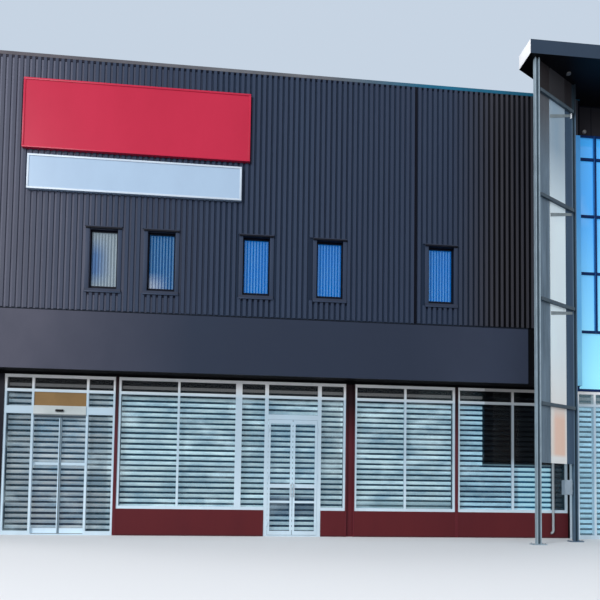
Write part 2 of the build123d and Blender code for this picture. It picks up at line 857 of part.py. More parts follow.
with BuildPart() as curtain_frame:
    with BuildSketch(front_plane(curtain_y)):
        rectangle_between(curtain_x0, curtain_x1, entrance_head, header_bottom)
        rectangle_between(curtain_x0 + curtain_jamb, curtain_x1 - curtain_jamb,
                          entrance_head + curtain_bar, curtain_levels[0], Mode.SUBTRACT)
        for column_left, column_right in curtain_columns:
            for low, high in curtain_rows:
                rectangle_between(column_left, column_right, low, high, Mode.SUBTRACT)
    extrude(amount=-curtain_depth)

curtain_glass_y = curtain_y + frame_depth / 2
with BuildPart() as porch_glass:
    with BuildSketch(front_plane(curtain_glass_y)):
        rectangle_between(curtain_x0 + curtain_jamb, curtain_x1 - curtain_jamb,
                          entrance_head + curtain_bar, curtain_levels[0])
        for column_left, column_right in curtain_columns:
            for low, high in curtain_rows:
                rectangle_between(column_left, column_right, low, high)
        for column_left, column_right in entrance_columns:
            rectangle_between(column_left, column_right, threshold, entrance_transom)
            rectangle_between(column_left, column_right, entrance_transom + frame_rail,
                              entrance_head - frame_rail)
    extrude(amount=-glass_thickness)

with BuildPart() as curtain_header:
    with BuildSketch(front_plane(curtain_y)):
        rectangle_between(curtain_x0, curtain_x1, header_bottom, roof_soffit)
    extrude(amount=-curtain_depth)

with BuildPart() as entrance_frame:
    with BuildSketch(front_plane(curtain_y)):
        rectangle_between(curtain_x0, curtain_x1, 0, entrance_head)
        for column_left, column_right in entrance_columns:
            rectangle_between(column_left, column_right, threshold, entrance_transom, Mode.SUBTRACT)
            rectangle_between(column_left, column_right, entrance_transom + frame_rail,
                              entrance_head - frame_rail, Mode.SUBTRACT)
    extrude(amount=-curtain_depth)

# Downpipe under the soffit beside the porch, turned out at its foot
downpipe_x = porch_x - downpipe_side
downpipe_y = face_y + plinth_front - downpipe_gap - downpipe_radius
with BuildPart() as downpipe:
    with BuildLine(Plane(origin=(downpipe_x, downpipe_y, 0), x_dir=(1, 0, 0), z_dir=(0, -1, 0))):
        Line((0, fascia_bottom), (0, downpipe_bottom))
        JernArc(start=(0, downpipe_bottom), tangent=(0, -1), radius=downpipe_bend, arc_size=-downpipe_turn)
    with BuildSketch(Plane.XY.offset(fascia_bottom)):
        with Locations((downpipe_x, downpipe_y)):
            Circle(downpipe_radius)
    sweep()

# Service box on two straps from the rear post, and the small lamps on the header panels
service_box_right = porch_x - rear_post_side - post_size / 2 - service_box_gap
with BuildPart() as service_box:
    with BuildSketch(Plane.XY.offset(service_box_bottom)):
        with Locations((service_box_right - service_box_width / 2, face_y - rear_post_out)):
            Rectangle(service_box_width, service_box_depth)
    extrude(amount=service_box_height)
    fillet(service_box.faces().sort_by(Axis.Y)[0].edges(), radius=service_strap_thickness)
    for share in (1, 3):
        strap_bottom = service_box_bottom + service_box_height * share / 4 - service_strap / 2
        with BuildSketch(Plane.XY.offset(strap_bottom)):
            rectangle_between(service_box_right, service_box_right + service_box_gap,
                              face_y - rear_post_out - service_strap_thickness / 2,
                              face_y - rear_post_out + service_strap_thickness / 2)
        extrude(amount=service_strap)

with BuildPart() as porch_lamps:
    with BuildSketch(front_plane(curtain_y)):
        for side in (-1, 1):
            with Locations((porch_x + side * lamp_side, header_bottom + lamp_rise)):
                Circle(lamp_radius)
    extrude(amount=lamp_radius)
    fillet(porch_lamps.faces().sort_by(Axis.Y)[:2].edges(), radius=lamp_radius * 0.6)

pieces = {
    "ground_floor": ground_floor,
    "upper_floor": upper_floor,
    "roof_deck": roof_deck,
    "front_cladding_left": front_cladding_left,
    "front_cladding_right": front_cladding_right,
    "front_cladding_wing": front_cladding_wing,
    "fascia_wall": fascia_wall,
    "fascia_band": fascia_band,
    "left_cladding": left_cladding,
    "right_cladding": right_cladding,
    "back_cladding": back_cladding,
    "left_lower_wall": left_lower_wall,
    "right_lower_wall": right_lower_wall,
    "back_lower_wall": back_lower_wall,
    "parapet_capping": parapet_capping,
    "shop_soffit": shop_soffit,
    "columns": columns,
    "porch_jambs": porch_jambs,
    "plinths": plinths,
    "window_frames": window_frames,
    "slide_frame": slide_frame,
    "blank_panel": blank_panel,
    "operator_housing": operator_housing,
    "sliding_leaf_left": sliding_leaf_left,
    "sliding_glass_left": sliding_glass_left,
    "sliding_leaf_right": sliding_leaf_right,
    "sliding_glass_right": sliding_glass_right,
    "door_frame": door_frame,
    "thresholds": thresholds,
    "shop_glass": shop_glass,
    "swing_leaf_left": swing_leaf_left,
    "swing_glass_left": swing_glass_left,
    "swing_leaf_right": swing_leaf_right,
    "swing_glass_right": swing_glass_right,
    "roller_shutters": roller_shutters,
    "upper_window_frames": upper_window_frames,
    "upper_window_glass": upper_window_glass,
    "upper_window_drips": upper_window_drips,
    "pale_sign": pale_sign,
    "red_sign": red_sign,
    "porch_posts": porch_posts,
    "narrow_screens": narrow_screens,
    "wide_screens": wide_screens,
    "edge_screens": edge_screens,
    "screen_rails": screen_rails,
    "service_box": service_box,
    "downpipe": downpipe,
    "porch_lamps": porch_lamps,
    "porch_roof": porch_roof,
    "curtain_frame": curtain_frame,
    "porch_glass": porch_glass,
    "curtain_header": curtain_header,
    "entrance_frame": entrance_frame,
}
for name, piece in pieces.items():
    piece.part.label = name
    export_step(piece.part, f"parts/{name}.step")
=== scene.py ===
import math

import bmesh
import bpy
from mathutils import Matrix, Vector


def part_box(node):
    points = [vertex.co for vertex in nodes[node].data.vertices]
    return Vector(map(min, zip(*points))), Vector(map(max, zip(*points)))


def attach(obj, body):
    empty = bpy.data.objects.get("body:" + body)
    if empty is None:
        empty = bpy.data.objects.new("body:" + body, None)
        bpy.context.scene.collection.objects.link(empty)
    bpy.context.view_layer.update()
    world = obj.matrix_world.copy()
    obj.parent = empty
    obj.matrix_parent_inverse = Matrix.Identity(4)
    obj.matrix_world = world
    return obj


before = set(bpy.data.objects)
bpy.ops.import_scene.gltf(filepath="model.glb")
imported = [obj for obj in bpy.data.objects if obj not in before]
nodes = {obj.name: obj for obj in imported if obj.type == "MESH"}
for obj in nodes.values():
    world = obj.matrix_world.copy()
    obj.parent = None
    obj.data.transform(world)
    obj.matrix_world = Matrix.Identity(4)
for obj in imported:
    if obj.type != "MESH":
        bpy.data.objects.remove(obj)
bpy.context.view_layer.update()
print("stage: the packed building is loaded")

bpy.context.scene.view_settings.view_transform = "Standard"


# Small mesh helpers

def addBlock(shape, corner, opposite, edge=0.0):
    # a box between two opposite corners, its edges rounded off by a small amount
    low, high = Vector(map(min, corner, opposite)), Vector(map(max, corner, opposite))
    matrix = Matrix.Translation((low + high) / 2) @ Matrix.Diagonal((*(high - low), 1))
    made = bmesh.ops.create_cube(shape, size=1, matrix=matrix)
    if edge:
        edges = list({e for v in made["verts"] for e in v.link_edges})
        bmesh.ops.bevel(shape, geom=edges, offset=edge, segments=2, affect="EDGES", profile=0.5)


def addPrism(shape, outline, start, end, place):
    # an outline of (u, v) points drawn out from start to end, put in the building by place(u, v, w)
    first = [shape.verts.new(place(u, v, start)) for u, v in outline]
    last = [shape.verts.new(place(u, v, end)) for u, v in outline]
    shape.faces.new(first)
    shape.faces.new(list(reversed(last)))
    for number in range(len(outline)):
        after = (number + 1) % len(outline)
        shape.faces.new((first[number], last[number], last[after], first[after]))


def addRod(shape, start, end, radius, sides):
    # a round bar between two points
    start, end = Vector(start), Vector(end)
    run = end - start
    turn = run.to_track_quat("Z", "Y").to_matrix().to_4x4()
    bmesh.ops.create_cone(shape, cap_ends=True, segments=sides, radius1=radius, radius2=radius,
                          depth=run.length, matrix=Matrix.Translation((start + end) / 2) @ turn)


def bowedLine(points, half, bow):
    # points along a shallow arch, from -half to half, bow high at its middle
    shares = [2 * number / (points - 1) - 1 for number in range(points)]
    return [(half * share, bow * (1 - share ** 2)) for share in shares]


def meshFrom(shape, name="part", outwards=True):
    # ends the work on a shape, with its faces turned outwards where that is asked
    if outwards:
        bmesh.ops.recalc_face_normals(shape, faces=shape.faces)
    mesh = bpy.data.meshes.new(name)
    shape.to_mesh(mesh)
    shape.free()
    return mesh


def meshOf(add, *values):
    # a mesh of the one block, prism or rod that add makes
    shape = bmesh.new()
    add(shape, *values)
    return meshFrom(shape)


def linked(name, data):
    # a new object in the scene
    made = bpy.data.objects.new(name, data)
    bpy.context.scene.collection.objects.link(made)
    return made


def makePiece(name, meshes, finish, body="building", smoothAngle=35):
    # one object from one or more meshes, which rides on a body of the model
    shape = bmesh.new()
    for mesh in meshes if isinstance(meshes, list) else [meshes]:
        shape.from_mesh(mesh)
    mesh = meshFrom(shape, name, outwards=False)
    mesh.materials.clear()
    mesh.materials.append(finish)
    for polygon in mesh.polygons:
        polygon.use_smooth = True
        polygon.material_index = 0
    mesh.set_sharp_from_angle(angle=math.radians(smoothAngle))
    piece = linked(name, mesh)
    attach(piece, body)


def solids(node):
    # lowest and highest corner of each separate solid of a CAD node
    mesh = nodes[node].data
    owner = {}

    def root(key):
        while owner[key] != key:
            owner[key] = owner[owner[key]]
            key = owner[key]
        return key

    keys = [tuple(round(c, 4) for c in vertex.co) for vertex in mesh.vertices]
    for key in keys:
        owner.setdefault(key, key)
    for polygon in mesh.polygons:
        corner = [keys[v] for v in polygon.vertices]
        for other in corner[1:]:
            owner[root(other)] = root(corner[0])
    groups = {}
    for key in owner:
        groups.setdefault(root(key), []).append(key)
    boxes = []
    for points in groups.values():
        low = Vector([min(p[a] for p in points) for a in range(3)])
        high = Vector([max(p[a] for p in points) for a in range(3)])
        boxes.append((low, high))
    return sorted(boxes, key=lambda b: (round(b[0].y, 2), round(b[0].x, 2), b[0].z))


# Node helpers: a value that is a socket is linked, and any other value is set

def setInputs(tree, node, values):
    for label, value in values.items():
        if isinstance(value, bpy.types.NodeSocket):
            tree.links.new(value, node.inputs[label])
        else:
            node.inputs[label].default_value = value


def addNode(tree, kind, values=None, **settings):
    node = tree.nodes.new(kind)
    for label, value in settings.items():
        setattr(node, label, value)
    setInputs(tree, node, values or {})
    return node


def calc(tree, operation, first, second, clamp=False):
    values = {0: first, 1: second}
    return addNode(tree, "ShaderNodeMath", values, operation=operation, use_clamp=clamp).outputs[0]


def ramp(tree, value, start, full, low=0, high=1):
    # low before start, high past full, and the way between them
    values = {"Value": value, "From Min": start, "From Max": full, "To Min": low, "To Max": high}
    return addNode(tree, "ShaderNodeMapRange", values).outputs["Result"]


def blend(tree, share, first, second):
    values = {"Factor": share, "A": first, "B": second}
    return addNode(tree, "ShaderNodeMix", values, data_type="RGBA").outputs["Result"]


def scaled(tree, vector, factor):
    values = {0: vector, "Scale": factor}
    return addNode(tree, "ShaderNodeVectorMath", values, operation="SCALE").outputs["Vector"]


def stretched(tree, vector, factors):
    values = {0: vector, 1: factors}
    return addNode(tree, "ShaderNodeVectorMath", values, operation="MULTIPLY").outputs["Vector"]


def placeIn(tree):
    return addNode(tree, "ShaderNodeTexCoord").outputs["Object"]


def splitIn(tree, vector=None):
    # the three parts of a vector, or of the place on the object
    return addNode(tree, "ShaderNodeSeparateXYZ", {0: vector or placeIn(tree)}).outputs


# Geometry Nodes tree that lays copies of a piece along a line

def repeatTree():
    tree = bpy.data.node_groups.new("repeatAlong", "GeometryNodeTree")
    sockets = (("Geometry", "Geometry"), ("Count", "Int"), ("Step", "Vector"),
               ("Wobble", "Vector"), ("Seed", "Int"), ("Material", "Material"))
    for label, kind in sockets:
        tree.interface.new_socket(name=label, in_out="INPUT", socket_type="NodeSocket" + kind)
    tree.interface.new_socket(name="Geometry", in_out="OUTPUT", socket_type="NodeSocketGeometry")
    given = addNode(tree, "NodeGroupInput").outputs
    line = addNode(tree, "GeometryNodeMeshLine",
                   {"Count": given["Count"], "Offset": given["Step"]}, mode="OFFSET")
    chance = addNode(tree, "FunctionNodeRandomValue",
                     {"Min": scaled(tree, given["Wobble"], -1), "Max": given["Wobble"],
                      "Seed": given["Seed"]}, data_type="FLOAT_VECTOR")
    shift = addNode(tree, "GeometryNodeSetPosition",
                    {"Geometry": line.outputs["Mesh"], "Offset": chance.outputs["Value"]})
    copies = addNode(tree, "GeometryNodeInstanceOnPoints",
                     {"Points": shift.outputs["Geometry"], "Instance": given["Geometry"]})
    real = addNode(tree, "GeometryNodeRealizeInstances", {"Geometry": copies.outputs["Instances"]})
    paint = addNode(tree, "GeometryNodeSetMaterial",
                    {"Geometry": real.outputs["Geometry"], "Material": given["Material"]})
    addNode(tree, "NodeGroupOutput", {"Geometry": paint.outputs["Geometry"]})
    return tree


repeatAlong = repeatTree()


def repeated(mesh, count, step, finish, wobble=(0, 0, 0), seed=1):
    # the mesh copied count times, each one step further, as one plain mesh
    carrier = linked("carrier", mesh)
    modifier = carrier.modifiers.new("repeat", "NODES")
    modifier.node_group = repeatAlong
    values = {"Count": count, "Step": step, "Wobble": wobble, "Seed": seed, "Material": finish}
    for item in repeatAlong.interface.items_tree:
        if item.in_out == "INPUT" and item.name in values:
            modifier[item.identifier] = values[item.name]
    bpy.context.view_layer.update()
    graph = bpy.context.evaluated_depsgraph_get()
    plain = bpy.data.meshes.new_from_object(carrier.evaluated_get(graph))
    carrier.modifiers.remove(modifier)
    bpy.data.objects.remove(carrier)
    return plain


# Shader groups that several finishes share

def tone(red, green, blue):
    # a screen colour, 0 to 255, as the linear colour that shaders use
    def linear(value):
        share = value / 255
        return share / 12.92 if share <= 0.04045 else ((share + 0.055) / 1.055) ** 2.4
    return (linear(red), linear(green), linear(blue), 1.0)


def groupWith(name, inputs, outputs):
    # a group with its named inputs and outputs; an input that holds a colour is given as a tuple
    tree = bpy.data.node_groups.new(name, "ShaderNodeTree")
    for label, value in inputs.items():
        kind = "NodeSocketColor" if isinstance(value, tuple) else "NodeSocketFloat"
        made = tree.interface.new_socket(name=label, in_out="INPUT", socket_type=kind)
        made.default_value = value
    for label in outputs:
        kind = "NodeSocketColor" if label == "Color" else "NodeSocketFloat"
        tree.interface.new_socket(name=label, in_out="OUTPUT", socket_type=kind)
    return tree, addNode(tree, "NodeGroupInput").outputs


def stainGroup():
    # soft stains and streaks that drift a colour towards a second one
    tree, given = groupWith(
        "stains", {"Tone": (0.5, 0.5, 0.5, 1), "Grime": (0.2, 0.2, 0.2, 1), "Amount": 0.4,
                   "Scale": 1.0, "Upright stretch": 4.0}, ("Color",))
    flat = calc(tree, "DIVIDE", given["Scale"], given["Upright stretch"])
    scale = addNode(tree, "ShaderNodeCombineXYZ",
                    {"X": given["Scale"], "Y": given["Scale"], "Z": flat})
    noise = addNode(tree, "ShaderNodeTexNoise",
                    {"Vector": stretched(tree, placeIn(tree), scale.outputs[0]),
                     "Scale": 1, "Detail": 5, "Roughness": 0.6})
    share = calc(tree, "MULTIPLY", ramp(tree, noise.outputs["Fac"], 0.38, 0.68), given["Amount"])
    addNode(tree, "NodeGroupOutput", {"Color": blend(tree, share, given["Tone"], given["Grime"])})
    return tree


def grainGroup():
    # fine unevenness, for bump and for the spread of gloss
    tree, given = groupWith("grain", {"Scale": 60.0, "Low": 0.35, "High": 0.55},
                            ("Height", "Gloss"))
    noise = addNode(tree, "ShaderNodeTexNoise",
                    {"Vector": placeIn(tree), "Scale": given["Scale"], "Detail": 3}).outputs["Fac"]
    gloss = ramp(tree, noise, 0, 1, given["Low"], given["High"])
    addNode(tree, "NodeGroupOutput", {"Height": noise, "Gloss": gloss})
    return tree


def toneGroup(name, axis, ends):
    # three colours that follow each other along one axis
    inputs = {word: (0.1, 0.1, 0.1, 1) for word in ("First", "Middle", "Last")}
    inputs.update(zip(("First end", "Middle start", "Middle end", "Last start"), ends))
    tree, given = groupWith(name, inputs, ("Color",))
    place = splitIn(tree)[axis]
    rise = ramp(tree, place, given["First end"], given["Middle start"])
    climb = ramp(tree, place, given["Middle end"], given["Last start"])
    near = blend(tree, rise, given["First"], given["Middle"])
    addNode(tree, "NodeGroupOutput", {"Color": blend(tree, climb, near, given["Last"])})
    return tree


everywhere = (-1000.0, -999.0, 999.0, 1000.0)
rangeWords = ("start", "full", "fade", "gone")


def regionGroup():
    # a mask that is 1 inside a range along each axis
    tree, given = groupWith(
        "regionMask", {f"{axis} {word}": value for axis in "XYZ"
                       for word, value in zip(rangeWords, everywhere)}, ("Mask",))
    split = splitIn(tree)
    mask = 1.0
    for axis in "XYZ":
        for near, far, first, last in (("start", "full", 0, 1), ("fade", "gone", 1, 0)):
            edge = ramp(tree, split[axis], given[f"{axis} {near}"], given[f"{axis} {far}"],
                        first, last)
            mask = calc(tree, "MULTIPLY", mask, edge)
    addNode(tree, "NodeGroupOutput", {"Mask": mask})
    return tree


def sideGroup():
    # a mask of the faces that look along -X, past a place along X
    tree, given = groupWith("sideMask", {"X start": everywhere[0], "X full": everywhere[1]},
                            ("Mask",))
    facing = addNode(tree, "ShaderNodeNewGeometry").outputs["True Normal"]
    left = ramp(tree, splitIn(tree, facing)["X"], -0.2, -0.7)
    past = ramp(tree, splitIn(tree)["X"], given["X start"], given["X full"])
    addNode(tree, "NodeGroupOutput", {"Mask": calc(tree, "MULTIPLY", left, past)})
    return tree


def jointGroup():
    # running-bond joints on the walls, whichever way a wall faces
    tree, given = groupWith("blockJoints", {"Length": 0.44, "Height": 0.215, "Joint": 0.008},
                            ("Mask", "Relief"))
    split = splitIn(tree)
    flat = addNode(tree, "ShaderNodeCombineXYZ",
                   {"X": calc(tree, "ADD", split["X"], split["Y"]), "Y": split["Z"]})
    joints = addNode(tree, "ShaderNodeTexBrick",
                     {"Vector": flat.outputs[0], "Scale": 1, "Mortar Smooth": 0.3,
                      "Brick Width": given["Length"], "Row Height": given["Height"],
                      "Mortar Size": given["Joint"]}).outputs["Fac"]
    addNode(tree, "NodeGroupOutput", {"Mask": joints, "Relief": calc(tree, "SUBTRACT", 1, joints)})
    return tree


stains = stainGroup()
grain = grainGroup()
toneAlongFront = toneGroup("toneAlongFront", "X", (-9.0, -4.0, 1.0, 3.0))
toneByHeight = toneGroup("toneByHeight", "Z", (0.5, 1.5, 2.5, 3.5))
regionMask = regionGroup()
sideMask = sideGroup()
blockJoints = jointGroup()


# What a finish is made from: colours are screen colours, and places are in metres

def useGroup(tree, group, values=None):
    return addNode(tree, "ShaderNodeGroup", values, node_tree=group)


def newFinish(name):
    finish = bpy.data.materials.new(name)
    finish.use_nodes = True
    return finish, finish.node_tree, finish.node_tree.nodes["Principled BSDF"]


def finished(tree, shader, colour, paintedGlow, values):
    # the colour and the other values of a shader, and a painted glow in its own colour: light that
    # the surface gives off though it is no lamp
    setInputs(tree, shader, {"Base Color": colour, **values})
    if paintedGlow:
        setInputs(tree, shader, {"Emission Color": colour, "Emission Strength": paintedGlow})


relief = {"coat": 0.004, "joint": 0.006, "jointStrength": 0.6}


def coated(name, base, grime, stain, gloss, grainy=(70, 0.05), metallic=0.0, vary=0.0, shine=0.3,
           paintedGlow=0.0):
    # paint, metal or board: stain is (amount, scale, upright stretch), grainy is (scale, bump)
    finish, tree, shader = newFinish(name)
    amount, scale, stretch = stain
    colour = useGroup(tree, stains, {"Tone": tone(*base), "Grime": tone(*grime), "Amount": amount,
                                     "Scale": scale, "Upright stretch": stretch}).outputs["Color"]
    fine = useGroup(tree, grain, {"Scale": grainy[0], "Low": gloss[0], "High": gloss[1]}).outputs
    ridge = addNode(tree, "ShaderNodeBump",
                    {"Strength": grainy[1], "Distance": relief["coat"], "Height": fine["Height"]})
    if vary:  # each separate length of the piece is a little lighter or darker
        island = addNode(tree, "ShaderNodeNewGeometry").outputs["Random Per Island"]
        colour = scaled(tree, colour, ramp(tree, island, 0, 1, 1 - vary, 1 + vary))
    finished(tree, shader, colour, paintedGlow,
             {"Normal": ridge.outputs["Normal"], "Roughness": fine["Gloss"],
              "Metallic": metallic, "Specular IOR Level": shine})
    return finish


def drifted(finish, mask, colour, amount):
    # mixes a colour into a finish where a mask is 1
    tree = finish.node_tree
    sockets = tree.nodes["Principled BSDF"].inputs
    share = calc(tree, "MULTIPLY", mask, amount)
    after = blend(tree, share, sockets["Base Color"].links[0].from_socket, tone(*colour))
    tree.links.new(after, sockets["Base Color"])
    if sockets["Emission Color"].is_linked:
        tree.links.new(after, sockets["Emission Color"])


def tinted(finish, colour, amount, xs=(), zs=(), ys=()):
    # a colour in one region: a range holds start, full, fade and gone, or only the first two
    values = {f"{axis} {word}": value for axis, places in (("X", xs), ("Y", ys), ("Z", zs))
              for word, value in zip(rangeWords, places)}
    region = useGroup(finish.node_tree, regionMask, values)
    drifted(finish, region.outputs["Mask"], colour, amount)


def sideTinted(finish, colour, amount, xs=everywhere):
    # a colour on the faces that look along -X
    sides = useGroup(finish.node_tree, sideMask, {"X start": xs[0], "X full": xs[1]})
    drifted(finish, sides.outputs["Mask"], colour, amount)


def banded(finish, group, tones, ends):
    # puts three tones in the place of a coated finish's one
    tree = finish.node_tree
    words = ("First", "Middle", "Last", "First end", "Middle start", "Middle end", "Last start")
    values = dict(zip(words, (*(tone(*colour) for colour in tones), *ends)))
    stain = next(n for n in tree.nodes if n.type == "GROUP" and n.node_tree == stains)
    tree.links.new(useGroup(tree, group, values).outputs["Color"], stain.inputs["Tone"])
    return finish


def alongFront(finish, left, middle, right, ends):
    # gives a coated finish its three tones along the front
    return banded(finish, toneAlongFront, (left, middle, right), ends)


def byHeight(finish, low, middle, high, levels):
    # gives a coated finish its three tones from foot to top
    return banded(finish, toneByHeight, (low, middle, high), levels)


glassSheet = {"roughness": 0.05, "ior": 1.5, "patchDetail": 4, "patchEdge": 0.16}


def glazing(name, low, high, levels, pale, patches, alpha, stretch=(1, 1, 1), paintedGlow=0.0, fade=False,
            shine=0.5):
    # glass: its tint changes with height, with soft pale patches in it; the tint, the patches and
    # any glow are painted reflections
    finish, tree, shader = newFinish(name)
    climb = ramp(tree, splitIn(tree)["Z"], *levels)
    noise = addNode(tree, "ShaderNodeTexNoise",
                    {"Vector": stretched(tree, placeIn(tree), stretch),
                     "Scale": patches["scale"], "Detail": glassSheet["patchDetail"]})
    patch = ramp(tree, noise.outputs["Fac"], patches["from"],
                 patches["from"] + glassSheet["patchEdge"], 0, patches["share"])
    if fade:  # no patches past the upper level
        patch = calc(tree, "MULTIPLY", patch, calc(tree, "SUBTRACT", 1, climb))
    colour = blend(tree, patch, blend(tree, climb, tone(*low), tone(*high)), tone(*pale))
    finished(tree, shader, colour, paintedGlow,
             {"Roughness": glassSheet["roughness"], "Specular IOR Level": shine, "Alpha": alpha,
              "IOR": glassSheet["ior"]})
    return finish


def alphaByHeight(finish, low, high, levels):
    # glass that shows more of what is behind it below a level
    tree = finish.node_tree
    alpha = ramp(tree, splitIn(tree)["Z"], *levels, low, high)
    tree.links.new(alpha, tree.nodes["Principled BSDF"].inputs["Alpha"])


def framed(name):
    # pale anodised frames: brighter low down and under the soffit, where less light falls, as
    # painted light, with a faint painted glow as well
    finish = coated(name, (196, 208, 216), (168, 182, 192), (0.35, 1.1, 5.0), (0.28, 0.42),
                    (80, 0.03), paintedGlow=0.1)
    return byHeight(finish, (208, 230, 244), (178, 202, 218), (250, 250, 250),
                    (0.8, 2.0, 3.2, 3.5))


def jointed(finish, colour):
    # block joints in the colour and the relief of a wall finish
    tree = finish.node_tree
    normal = tree.nodes["Principled BSDF"].inputs["Normal"]
    blocks = useGroup(tree, blockJoints).outputs
    drifted(finish, blocks["Mask"], colour, 1.0)
    groove = addNode(tree, "ShaderNodeBump",
                     {"Strength": relief["jointStrength"], "Distance": relief["joint"],
                      "Height": blocks["Relief"], "Normal": normal.links[0].from_socket})
    tree.links.new(groove.outputs["Normal"], normal)
    return finish


# Finishes, and the ranges that their tints share, in metres along X, along Y and up

frontEnds = (-8.2, -4.4, 2.0, 3.1)
rightEnd = (7.8, 8.6)
porchShade = (3.045, 3.07, 5.2, 5.25)  # the panes beside the porch, which are painted dark as shade
# painted shade on the slats, guides and shutters beside the entrance jamb
jambShade = (4.8, 4.84, 5.2, 5.25)
brightPanes = (3.95, 4.0, 4.78, 4.82)
lowPanes = (-0.5, -0.4, 2.5, 2.6)
doorPanes = (-2.25, -2.2, -1.05, -1.0)
dullSlats = ((-8.3, -8.2, -7.66, -7.62), (-6.35, -6.3, -5.95, -5.9), (-1.02, -0.98, -0.5, -0.45))
shutterEnds = (-6.3, -5.3, 1.8, 2.8)
secondWindow = (-5.4, -5.3, -4.2, -4.1)
darkPatch = ((-6.8, -6.5, -6.2, -5.85), (5.6, 5.95, 6.35, 6.75))  # a painted sky reflection in the first upper window
behindFront = (-4.95, -4.9)  # every wall but the front, along Y
rearPost = (-6.1, -6.05)  # the posts behind the two front ones, along Y
underSoffit = (3.18, 3.27)
footBand = (0.95, 0.8)
belowBar = (1.75, 1.7)
aboveBar = (1.7, 1.8)
lowHalf = (6.0, 5.7)  # the lower part of the upper windows

# painted sheen and shade: the grooves are lighter at the left end as a painted sheen and near-black
# behind the porch as painted shade, a little lighter near the top; past the porch and on the other
# walls the middle tone comes back
claddingGroove = alongFront(
    coated("claddingGroove", (30, 32, 42), (22, 26, 40), (0.35, 0.8, 6.0), (0.45, 0.6), shine=0.08),
    (110, 112, 128), (33, 46, 66), (2, 2, 5), (-8.2, -3.4, 2.0, 3.1))
tinted(claddingGroove, (25, 35, 54), 1.0, rightEnd)
tinted(claddingGroove, (24, 26, 33), 0.8, (2.2, 3.0, 4.1, 4.6), (9.2, 10.2))  # beside the porch
tinted(claddingGroove, (31, 42, 61), 1.0, frontEnds[:2], ys=behindFront)
# painted sheen and shade: the ribs are lighter at the left end as a painted sheen; behind the porch
# their faces that look along -X are near-black as painted shade and the crowns turn grey; past the
# porch and on the other walls the middle tone comes back
claddingRib = alongFront(
    coated("claddingRib", (62, 66, 80), (50, 58, 78), (0.4, 0.7, 7.0), (0.36, 0.5), (40, 0.03),
           shine=0.1),
    (82, 84, 98), (54, 66, 87), (66, 66, 73), (-8.8, -5.7, 2.0, 3.1))
tinted(claddingRib, (55, 67, 88), 1.0, rightEnd)
sideTinted(claddingRib, (2, 2, 5), 0.95, (2.4, 3.3))
tinted(claddingRib, (55, 67, 88), 1.0, frontEnds[:2], ys=behindFront)
# like the cladding: lighter at the left end as a painted sheen and near-black behind the porch as
# painted shade
closurePaint = alongFront(
    coated("closurePaint", (20, 24, 36), (24, 28, 40), (0.3, 2.0, 2.0), (0.6, 0.8), shine=0.05),
    (58, 56, 68), (17, 23, 38), (2, 2, 5), frontEnds)
tinted(closurePaint, (17, 23, 38), 1.0, frontEnds[:2], ys=behindFront)
trimDark = coated("trimDark", (40, 48, 62), (32, 36, 48), (0.5, 1.0, 4.0), (0.35, 0.5), shine=0.1)
jointBlack = coated("jointBlack", (10, 12, 24), (16, 18, 26), (0.4, 2.0, 2.0), (0.6, 0.8),
                    shine=0.08)
# painted shade: the head drips are near-black below a thin lighter top edge
dripPaint = byHeight(
    coated("dripPaint", (20, 22, 32), (26, 30, 40), (0.3, 2.0, 2.0), (0.4, 0.5), shine=0.1),
    (56, 64, 82), (12, 14, 24), (58, 66, 84), (5.6, 6.0, 6.938, 6.942))
# lighter at the left end as a painted sheen, and a little lighter again towards the right end
fasciaPaint = alongFront(
    coated("fasciaPaint", (56, 62, 78), (46, 53, 70), (0.45, 0.5, 1.5), (0.34, 0.46), (30, 0.02),
           shine=0.1),
    (86, 86, 101), (47, 56, 74), (62, 70, 89), (-8.2, -4.0, 1.0, 3.5))
# near-black: painted shade on the recessed wall behind the fascia's end and on the porch jambs
shadedWall = coated("shadedWall", (14, 15, 19), (10, 11, 14), (0.4, 1.0, 2.0), (0.6, 0.8),
                    shine=0.08)
blockWall = jointed(
    coated("blockWall", (66, 70, 80), (52, 55, 64), (0.5, 0.9, 3.0), (0.7, 0.85), (45, 0.3),
           shine=0.15),
    (50, 53, 62))
# painted reflection on the front face, pale grey at the left and teal at the right; past the front
# edge the capping keeps a plain slate tone, except at the left end
cappingPaint = alongFront(
    coated("cappingPaint", (24, 44, 66), (34, 40, 50), (0.35, 0.9, 1.0), (0.3, 0.45), shine=0.12),
    (96, 92, 98), (108, 110, 116), (28, 106, 138), (-8.0, -3.0, -1.0, 1.5))
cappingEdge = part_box("parapet_capping")[0].y
tinted(cappingPaint, (62, 70, 86), 1.0, (-8.0, -3.0), ys=(cappingEdge + 0.01, cappingEdge + 0.03))
# near-black: the dark underside of the shop's overhang, darkened further as painted shade
soffitPaint = coated("soffitPaint", (6, 6, 9), (12, 12, 15), (0.4, 1.0, 1.0), (0.5, 0.7),
                     shine=0.05)
# painted shade: the columns darken towards the top under the soffit
burgundyPaint = byHeight(
    coated("burgundyPaint", (98, 34, 42), (60, 24, 32), (0.35, 1.5, 4.0), (0.35, 0.5), shine=0.12),
    (104, 40, 48), (94, 40, 48), (24, 8, 14), (0.6, 1.4, 2.2, 3.2))
tinted(burgundyPaint, (16, 16, 28), 1.0, (-7.9, -8.1))  # painted shade: the columns at the left end are near-black
plinthPaint = coated("plinthPaint", (98, 38, 43), (85, 34, 41), (0.5, 1.3, 3.0), (0.4, 0.6),
                     (90, 0.1), shine=0.1)
tinted(plinthPaint, (60, 36, 42), 0.6, zs=(0.05, 0.01))

framePaint = framed("framePaint")
tinted(framePaint, (112, 108, 108), 0.55, porchShade, (1.75, 1.95))
slidePaint = framed("slidePaint")
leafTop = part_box("sliding_leaf_left")[1].z
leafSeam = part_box("sliding_leaf_right")[0].x
